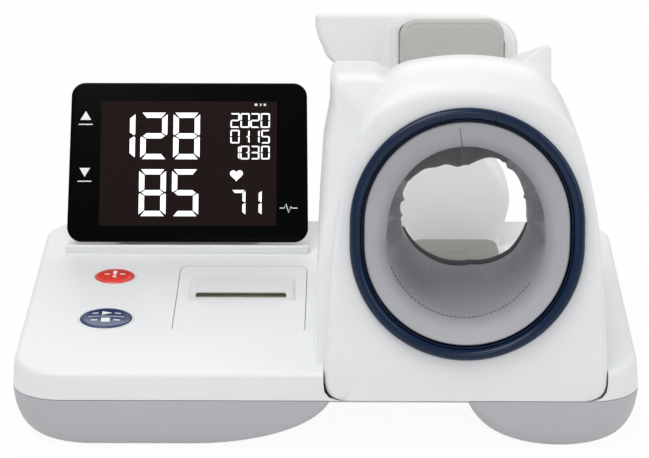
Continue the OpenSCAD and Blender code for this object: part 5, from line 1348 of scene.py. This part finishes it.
@dataclass
class DisplayUnit:
    """Leaning black display with a lit window, numbers made of segments, and its white back and foot."""

    width: float = 205.5
    taper: float = 3.0
    height: float = 139.0
    corner: float = 12.0
    bezel: float = 4.0
    window: tuple[float, float] = (151.0, 109.0)
    middle: float = 68.0

    def outline(self, o: float) -> np.ndarray:
        """Outline in X and height up the face, drawn in by o; the top is narrower than the bottom."""
        r, b, t, h = self.corner, self.width / 2, (self.width - self.taper) / 2, self.height
        return np.concatenate([arc(b - r, r, r - o, -90, 0, 12), arc(t - r, h - r, r - o, 0, 90, 12),
                               arc(r - t, h - r, r - o, 90, 180, 12), arc(r - b, r, r - o, 180, 270, 12)])

    def plate(self, steps: Sequence[tuple[float, float]], name: str) -> bpy.types.Object:
        """A plate lofted through outlines of (inset, depth behind the face)."""
        rings = [PANEL.face(*self.outline(o).T, w) for o, w in steps]
        return Shape.loft(np.stack(rings)).piece(name, 40)

    def front(self) -> bpy.types.Object:
        """The black front with rounded edges."""
        rear = self.bezel
        return self.plate([(2.0, 0.0), (0.9, 0.08), (0.3, 0.45), (0.0, 1.2), (0.0, rear), (0.8, rear + 0.15)],
                          "display_panel")

    def back(self) -> bpy.types.Object:
        """The white back: a dish whose edges draw in towards the rear."""
        front = self.bezel
        return self.plate([(1.0, front + 0.2), (0.3, front + 0.6), (0.3, front + 3.5), (1.2, front + 6.2),
                           (3.6, 12.2), (7.0, 13.0)], "display_back_shell")

    def slab(self) -> bpy.types.Object:
        """The window: a thin slab let into the face."""
        w, h = self.window
        flat = round_rect(-w / 2, w / 2, self.middle - h / 2, self.middle + h / 2, 0.4, 5)
        return Shape.prism(flat, PANEL.face, (-0.03, 0.8)).piece("lcd_window")

    def digit(self, text: str, x: float, u: float, w: float, h: float, t: float) -> list[np.ndarray]:
        """Outlines of a number's lit segments.

        Args:
            text: One sign. x: Left edge. u: Lower edge. w: Width. h: Height. t: Stroke width.

        Returns:
            A list of outlines.
        """
        g, m, k = 0.13 * t, h / 2, t * 0.5
        bars = {
            "a": [(g + 0.2 * t, h), (w - g - 0.2 * t, h), (w - t - g, h - t), (t + g, h - t)],
            "d": [(g + 0.2 * t, 0), (t + g, t), (w - t - g, t), (w - g - 0.2 * t, 0)],
            "f": [(0, h - g - 0.2 * t), (t, h - t - g), (t, m + k + g), (0.18 * t, m + g), (0, m + g + 0.2 * t)],
            "b": [(w, h - g - 0.2 * t), (w, m + g + 0.2 * t), (w - 0.18 * t, m + g), (w - t, m + k + g),
                  (w - t, h - t - g)],
            "e": [(0, g + 0.2 * t), (0, m - g - 0.2 * t), (0.18 * t, m - g), (t, m - k - g), (t, t + g)],
            "c": [(w, g + 0.2 * t), (w - t, t + g), (w - t, m - k - g), (w - 0.18 * t, m - g), (w, m - g - 0.2 * t)],
            "g": [(0.35 * t + g, m), (t + g, m + k), (w - t - g, m + k), (w - 0.35 * t - g, m), (w - t - g, m - k),
                  (t + g, m - k)],
        }
        return [np.array(bars[s]) + (x, u) for s in SEGMENTS[text]]

    def lit(self) -> bpy.types.Object:
        """All lit signs in the window: two big numbers, three small rows, a heart and the pulse number."""
        left, top = -self.window[0] / 2, self.middle + self.window[1] / 2
        flats: list[np.ndarray] = []

        def across(px: float) -> float:
            """X on the face of a place in a finer drawing of the window."""
            return left + (px - 248) * 0.1422

        def up(py: float) -> float:
            """Height on the face of a place in the same drawing, which counts down."""
            return top - (py - 197) * 0.1474

        def put(text: str, px0: float, px1: float, py0: float, py1: float, t: float) -> None:
            """Places one sign by its box in that drawing."""
            x0, x1, u0, u1 = across(px0), across(px1), up(py1), up(py0)
            wide = max(x1 - x0, 2.4 * t) if text == "1" else x1 - x0
            flats.extend(self.digit(text, x1 - wide, u0, wide, u1 - u0, t))

        for text, px0, px1 in (("1", 412, 456), ("2", 488, 650), ("8", 686, 846)):
            put(text, px0, px1, 265, 543, 4.6)
        for text, px0, px1 in (("8", 484, 646), ("5", 682, 842)):
            put(text, px0, px1, 603, 881, 4.6)
        for text, px0, px1 in (("7", 1040, 1125), ("1", 1160, 1222)):
            put(text, px0, px1, 725, 875, 2.6)
        for row, (y0, y1) in zip(("2020", "01-15", "10-30"), ((267, 355), (367, 448), (462, 543))):
            dashed = "-" in row
            for place, sign in zip((1030, 1090, 1133, 1150, 1212) if dashed else (1030, 1090, 1150, 1212), row):
                if sign == "-":
                    mid = up((y0 + y1) / 2)
                    flats.append(boxed(across(place - 8) + 0.4, across(place + 12) - 0.8, mid - 0.6, mid + 0.6))
                else:
                    put(sign, place + (4 if dashed and place > 1140 else 0), place + 56, y0, y1, 1.25)
        t = np.linspace(0, 2 * math.pi, 49)[:-1]
        lobes = 13 * np.cos(t) - 5 * np.cos(2 * t) - 2 * np.cos(3 * t) - np.cos(4 * t)
        heart = np.stack([16 * np.sin(t) ** 3, lobes], -1)
        flats.append(0.345 * heart + (across(1069), up(636)))
        return self.inked(flats, "lit_numbers")

    def inked(self, flats: Sequence[np.ndarray], name: str) -> bpy.types.Object:
        """Thin flat signs that stand 0.05 mm proud of the window."""
        return Shape.joined([Shape.prism(flat, PANEL.face, (0.10, -0.05)) for flat in flats]).piece(name)

    def marks(self) -> bpy.types.Object:
        """Generic marks beside the window: an arrow up, an arrow down, and a pulse wave."""
        flats = []
        for u, way in ((109.6, 1), (60.0, -1)):
            arrow = [(-4.6, -way * 3.68), (4.6, -way * 3.68), (0, way * 4.14)]
            flats.append(np.array(arrow)[::way] + (-88.6, u))
        flats += [boxed(-94.6, -82.6, u - 0.45, u + 0.45) for u in (102.0, 52.0)]
        flats += [boxed(x - w / 2, x + w / 2, 118.6, 120.6) for x, w in ((57.5, 2.4), (61.5, 1.2), (65.0, 2.0))]
        wave = np.array([(-7.5, 0), (-3.6, 0), (-2.2, 3.6), (0.2, -4.0), (2.0, 1.6), (3.0, 0), (7.5, 0)])
        line = np.column_stack([wave[:, 0] + 86.0, wave[:, 1] + 29.0])
        way = np.gradient(line, axis=0)
        side = np.stack([-way[:, 1], way[:, 0]], -1) / (np.linalg.norm(way, axis=1)[:, None] + 1e-9)
        for k in range(len(line) - 1):
            flats.append(np.array([line[k] - 0.4 * side[k], line[k + 1] - 0.4 * side[k + 1],
                                   line[k + 1] + 0.4 * side[k + 1], line[k] + 0.4 * side[k]]))
        return self.inked(flats, "panel_marks")

    @staticmethod
    def drawn(side: np.ndarray, steps: Sequence[tuple[float, float]], name: str, angle: float) -> bpy.types.Object:
        """A section carried along X from the display's middle, shrunk near its ends so that they are rounded.

        Args:
            side: Depths and heights of the section. steps: X and shrinkage at each ring. name: The piece's name.
            angle: Edges that bend more than this stay sharp, in degrees.

        Returns:
            The piece.
        """
        mid = side.mean(0)
        rings = [np.column_stack([np.full(len(side), PANEL.origin[0] + x), mid + (side - mid) * (1 - o)])
                 for x, o in steps]
        return Shape.loft(np.stack(rings)).piece(name, angle)

    def foot(self) -> bpy.types.Object:
        """The step below the display: a low plinth with a rounded nose, carried across the display's width."""
        _, y0, z0 = PANEL.origin
        lean = math.radians(DISPLAY_LEAN)
        low_y, low_z = y0 + 13.2 * math.cos(lean) + 2 * math.sin(lean), z0 - 4.65
        nose = arc(y0 + 0.6, z0 - 5.6, 2.2, 180, 100, 6)
        side = np.concatenate([[(y0 - 1.6, float(deck_height(y0 - 1.6)) + 0.2)], nose,
                               [(y0 + 4.0, z0 - 4.2), (low_y, low_z - 1.8), (low_y + 6, low_z - 1),
                                (low_y + 12, float(deck_height(low_y + 12)) + 0.2)]])
        ends = ((-103.6, 1.2), (-102.5, 0.25), (-101.7, 0.0), (101.7, 0.0), (102.5, 0.25), (103.6, 1.2))
        return self.drawn(side, [(x, o / 14.0) for x, o in ends], "display_plinth", 40)

    def strut(self) -> bpy.types.Object:
        """The wedge behind the display that holds it up, with rounded upright edges."""
        low, high = PANEL.at(0, 13.2, 3.0)[1:], PANEL.at(0, 13.2, 66.0)[1:]
        side = np.array([(low[0] - 0.6, deck_height(low[0]) + 0.2), low, high, high + (3, 0.4), high + (6, -2),
                         (155.5, deck_height(155.5) + 0.2)])
        ends = ((-60.0, 2.4), (-59.2, 0.8), (-57.6, 0.0), (57.6, 0.0), (59.2, 0.8), (60.0, 2.4))
        return self.drawn(side, [(x, o / 30.0) for x, o in ends], "display_strut", 30)

    def build(self) -> None:
        """Makes and dresses the display."""
        dress(self.front(), Look.BLACK, nodes=["display_front"], slot="black_glass")
        dress(self.slab(), Look.LCD, nodes=["display_window"], slot="lcd_window")
        dress(self.lit(), Look.SEGMENT, slot="lcd_window")
        dress(self.marks(), Look.INK, slot="black_glass")
        dress(self.back(), Look.WHITE, nodes=["display_back"], slot="white_shell")
        dress(self.foot(), Look.WHITE, nodes=["display_foot"], slot="white_shell")
        dress(self.strut(), Look.WHITE, slot="white_shell")


# ---- armrest ----------------------------------------------------------------------------


@dataclass
class ArmrestTower:
    """Light grey tower behind the tunnel with a framed upper pad, and an elbow pad in its tray."""

    top: float = 272.6

    def limits(self, z: np.ndarray) -> tuple[np.ndarray, ...]:
        """Left, right, front and rear of the tower at heights z, read off its outlines."""
        left = np.concatenate([[(65, 60), (65, 88)], bezier((57, 108), (57, 135), (81, 160), (81, 182), 8),
                               bezier((72, 192), (50, 206), (14, 219), (-1.5, 235), 8), [(-8, 250), (-11, 261)],
                               arc(-6, 267.6, 5, 180, 90, 6)])
        right = np.concatenate([[(148, 60), (148, 88)], bezier((156.5, 115), (156.5, 128), (150, 142), (134, 154), 6),
                                bezier((128, 163), (122, 186), (134, 196), (158, 212), 8)[1:], [(162, 222)],
                                bezier((162, 243.0), (162, 259.5), (143, 272.5), (118, 272.6), 14)])
        face = np.concatenate([bezier((100, 60), (102, 130), (136, 170), (146, 274.5), 20)[:-3],
                               [(145.1, 266.0), (145.5, 269.5), (146.3, 271.6), (147.6, 272.6)]])
        rear = np.concatenate([bezier((150, 60), (158, 150), (165, 190), (165, 258.5), 20),
                               [(164.4, 260.0), (150.0, 272.0), (149.0, 272.6)]])
        return tuple(np.interp(z, c[:, 1], c[:, 0]) for c in (left, right, face, rear))

    def tower(self) -> bpy.types.Object:
        """The tower as round-cornered levels; the left overhang and the crown are eased by the levels' spacing."""
        z = np.concatenate([np.linspace(78, 184, 24), np.linspace(186, 244, 40),
                            self.top - 26.0 * np.cos(np.linspace(0.08, math.pi / 2, 26))])
        x0, x1, y0, y1 = self.limits(z)
        x0, x1 = self.calmed(x0), self.calmed(x1)
        rings = []
        for k in range(len(z)):
            flat = round_rect(x0[k], x1[k], y0[k], y1[k], min(7.0, (y1[k] - y0[k]) / 2 - 0.1), 8)
            rings.append(np.column_stack([flat, np.maximum(np.full(len(flat), z[k]), deck_height(flat[:, 1]) + 0.2)]))
        return Shape.loft(np.stack(rings)).piece("armrest_tower", 50)

    @staticmethod
    def calmed(side: np.ndarray, below: int = 64, width: int = 5) -> np.ndarray:
        """The side with a running mean over the levels below the crown."""
        mean = np.convolve(np.pad(side[:below], width // 2, "edge"), np.ones(width) / width, "valid")
        return np.concatenate([mean, side[below:]])

    def surround(self) -> bpy.types.Object:
        """The frame round the upper pad: a soft plate with a pocket for the pad."""
        rings = []
        for o, h in ((0.0, -9.0), (0.0, 4.6), (0.5, 6.2), (1.8, 7.0), (6.5, 7.0)):
            corners = (41.0 - o, 16.0 - o, 14 - o, 20 - o)
            flat = self.waisted(round_rect(-52.2 + o, 56.6 - o, -37.0 + o, 34.6 - o, corners, 14), 1.6)
            rings.append(PAD.at(flat[:, 0], flat[:, 1], h))
        for o, h in ((0.0, 6.7), (0.6, 5.8), (0.6, 2.2)):
            flat = self.waisted(round_rect(-45.2 + o, 45.2 - o, -33.0 + o, 33.0 - o, 15.5 - o, 14), 1.9)
            rings.append(PAD.at(flat[:, 0], flat[:, 1], h))
        return Shape.loft(np.stack(rings)).piece("pad_surround", 40)

    @staticmethod
    def waisted(flat: np.ndarray, dip: float) -> np.ndarray:
        """The outline with its upper edge sagging by `dip` in the middle, as a saddle's edge does."""
        mid = np.exp(-((flat[:, 0] / 24.0) ** 2))
        return np.column_stack([flat[:, 0], flat[:, 1] - dip * mid * np.clip(flat[:, 1] / 30.0, 0, 1)])

    def cushion(self, axes: Axes, size: tuple[float, float], thick: float, radius: float, dip: float, base: float,
                name: str) -> bpy.types.Object:
        """A crowned pad: superellipse rings that swell outwards, with a sewn channel near the crown's edge.

        Args:
            axes: Frame whose third axis leaves the pad's seat. size: Width and height. thick: Full height.
            radius: Corner radius. dip: Sag along the middle. base: Height of the seat. name: The piece's name.

        Returns:
            The pad.
        """
        inset = (2.2, 0.8, 0.1, 0.0, 0.3, 1.1, 2.4, 3.6, 4.2, 4.9, 6.2, 9.0, 13.0, 18.0, 24.0, 29.0)
        lift = (0.0, 0.10, 0.25, 0.45, 0.62, 0.76, 0.85, 0.885, 0.855, 0.90, 0.94, 0.965, 0.982, 0.993, 0.999, 1.0)
        half_w, half_h = size[0] / 2, size[1] / 2
        rings = []
        for o, h in zip(inset, lift):
            r = max(radius - o * 0.55, 1.0)
            flat = self.waisted(round_rect(-half_w + o, half_w - o, -half_h + o, half_h - o, r, 14), 1.9)
            mid = np.cos(np.clip(np.abs(flat[:, 0]) / half_w, 0, 1) * math.pi / 2) ** 2
            z = base + thick * h - dip * mid * smooth((o - 1.0) / 8.0) * (h > 0.5)
            rings.append(axes.at(flat[:, 0], flat[:, 1], z))
        return Shape.domed(np.stack(rings)).piece(name, 70)

    def build(self) -> None:
        """Makes and dresses the tower, its frame and both pads."""
        dress(self.tower(), Look.LIGHT, nodes=["armrest_front", "armrest_back"], slot="light_shell")
        dress(self.surround(), Look.FRAME, nodes=["pad_frame"], slot="light_shell")
        upper = self.cushion(PAD, (88.6, 64.0), 9.6, 15.0, 2.2, 2.5, "upper_pad_cushion")
        dress(upper, Look.PAD, nodes=["upper_pad"], slot="pad_warm")
        seat = Axes(tuple(DECK.at(107.0, deck_run(67.0), 0.0)), DECK_SLOPE)
        elbow = self.cushion(seat, (74.0, 58.0), 9.0, 10.0, 2.2, 2.9, "elbow_pad_cushion")
        dress(elbow, Look.ELBOW, nodes=["elbow_pad"], slot="pad_dark")


# ---- inner works and carried-over solids --------------------------------------------------


@dataclass
class InnerWorks:
    """The solids that keep their CAD shape and only take a finish."""

    finishes: dict[str, Look] = field(default_factory=lambda: {
        "rubber_feet": Look.RUBBER, "base_screws": Look.STEEL, "cuff_drum": Look.CREAM, "cuff_bladder": Look.FOAM,
        "rear_collar": Look.LIGHT, "tunnel_screws": Look.STEEL, "start_button_spring": Look.STEEL,
        "emergency_button_spring": Look.STEEL, "key_board": Look.BOARD, "key_switches": Look.DARK,
        "door_hinge_pins": Look.STEEL, "paper_bay": Look.DARK, "paper_roll": Look.PAPER, "printer_frame": Look.DARK,
        "print_head": Look.STEEL, "platen_roller": Look.RUBBER, "platen_gear": Look.CREAM, "idler_gear": Look.CREAM,
        "motor_pinion": Look.STEEL, "printer_motor": Look.STEEL, "lcd_panel": Look.LCD, "display_board": Look.BOARD,
        "display_screws": Look.STEEL, "elbow_tray": Look.LIGHT, "armrest_bracket": Look.STEEL,
        "armrest_screws": Look.STEEL, "main_board": Look.BOARD, "power_supply": Look.STEEL, "power_inlet": Look.DARK,
        "switch_housing": Look.DARK, "rocker_switch": Look.DARK, "air_pump": Look.STEEL, "release_valve": Look.DARK,
        "air_hose": Look.RUBBER, "speaker": Look.DARK, "port_plate": Look.STEEL})

    def build(self, nodes: dict[str, bpy.types.Object]) -> None:
        """Gives every carried-over solid its finish."""
        for name, look in self.finishes.items():
            obj = nodes[name]
            obj.data.materials.clear()
            obj.data.materials.append(look.material())
            LOG.info("%s keeps its solid, %s", name, look.name.lower())


# ---- studio -----------------------------------------------------------------------------


@dataclass
class Studio:
    """Camera at the photograph's angle, pale floor and soft lights."""

    lens: float = 2900.0 / 649.0 * 36.0

    def camera(self) -> None:
        """Places the camera: 2.26 m in front, 0.84 m up, looking down by 17.5 degrees."""
        data = bpy.data.cameras.new("camera")
        data.sensor_width, data.lens, data.clip_end = 36.0, self.lens, 20.0
        cam = bpy.data.objects.new("camera", data)
        cam.location = (0.01789, -2.262257 + Drawing.shift, 0.83992)
        cam.rotation_euler = (math.radians(72.5), 0.0, math.radians(0.5))
        bpy.context.scene.collection.objects.link(cam)
        bpy.context.scene.camera = cam

    def floor(self) -> None:
        """A wide pale floor that reads white to the camera and in reflections but keeps the shadow."""
        mesh = bpy.data.meshes.new("floor")
        corners = [(x, y, -0.0005) for x, y in boxed(-6, 6, -6, 6).tolist()]
        mesh.from_pydata(corners, [], [(0, 1, 2, 3)])
        floor = bpy.data.objects.new("floor", mesh)
        bpy.context.scene.collection.objects.link(floor)
        kit = NodeKit("floor_paper")
        ray = kit.node("ShaderNodeLightPath")
        seen = (ray["Is Camera Ray"] + ray["Is Glossy Ray"] + ray["Is Transmission Ray"]).clamped()
        grain = kit.noise(300.0)
        tone = kit.mix(grain, (0.86, 0.86, 0.86), (0.90, 0.90, 0.90))
        matt = kit.node("ShaderNodeBsdfDiffuse", {}, {"Color": tone})
        glow = kit.node("ShaderNodeEmission", {}, {"Color": (1.0, 1.0, 1.0), "Strength": 1.0})
        blend = kit.node("ShaderNodeMixShader", {}, {0: seen * 0.95, 1: matt["BSDF"], 2: glow["Emission"]})
        kit.node("ShaderNodeOutputMaterial", {}, {"Surface": blend["Shader"]})
        floor.data.materials.append(kit.material)

    def world(self) -> None:
        """An even world light, white behind the object."""
        world = bpy.data.worlds.new("studio")
        bpy.context.scene.world = world
        world.use_nodes = True
        tree = world.node_tree
        tree.nodes.clear()
        ray = tree.nodes.new("ShaderNodeLightPath")
        most = tree.nodes.new("ShaderNodeMath")
        most.operation = "MAXIMUM"
        tree.links.new(ray.outputs["Is Camera Ray"], most.inputs[0])
        tree.links.new(ray.outputs["Is Transmission Ray"], most.inputs[1])
        dim, seen = tree.nodes.new("ShaderNodeBackground"), tree.nodes.new("ShaderNodeBackground")
        dim.inputs["Color"].default_value, dim.inputs["Strength"].default_value = (0.97, 0.985, 1.0, 1.0), 0.49
        seen.inputs["Color"].default_value, seen.inputs["Strength"].default_value = (1, 1, 1, 1), 1.0
        blend, out = tree.nodes.new("ShaderNodeMixShader"), tree.nodes.new("ShaderNodeOutputWorld")
        tree.links.new(most.outputs[0], blend.inputs[0])
        tree.links.new(dim.outputs[0], blend.inputs[1])
        tree.links.new(seen.outputs[0], blend.inputs[2])
        tree.links.new(blend.outputs[0], out.inputs["Surface"])

    def lamp(self, name: str, place: tuple, aim: tuple, size: tuple, power: float) -> None:
        """One rectangular soft box that faces its aim."""
        data = bpy.data.lights.new(name, "AREA")
        data.shape, data.size, data.size_y, data.energy = "RECTANGLE", size[0], size[1], power
        obj = bpy.data.objects.new(name, data)
        way = np.asarray(aim, float) - np.asarray(place, float)
        obj.location = place
        flat = math.hypot(way[0], way[1])
        obj.rotation_euler = (math.atan2(flat, -way[2]), 0.0, math.atan2(way[1], way[0]) - math.pi / 2)
        bpy.context.scene.collection.objects.link(obj)

    def build(self) -> None:
        """Sets up the whole studio."""
        self.camera()
        self.floor()
        self.world()
        self.lamp("key", (-0.6, -0.6, 2.1), (0.0, 0.0, 0.1), (1.5, 1.2), 22.0)
        self.lamp("side", (1.7, -0.5, 1.0), (0.1, 0.0, 0.15), (0.9, 1.3), 6.0)
        self.lamp("fill", (0.05, -1.7, 0.95), (0.11, -0.05, 0.11), (0.5, 0.4), 2.6)
        self.lamp("rear", (0.2, 1.7, 1.5), (0.0, 0.0, 0.15), (1.8, 0.8), 8.0)
        bpy.context.scene.view_settings.view_transform = "Standard"


def main() -> None:
    """Loads the frame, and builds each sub-assembly in order."""
    logging.basicConfig(level=logging.INFO, format="%(name)s %(message)s")
    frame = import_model()
    Drawing.settle()
    Studio().build()
    for part in (BaseCasing(), TunnelHousing(), EntryRing(), ArmCuff(), *BUTTONS, PrinterDoor(), DisplayUnit(),
                 ArmrestTower()):
        part.build()
    InnerWorks().build(frame["nodes"])


if __name__ == "__main__":
    main()
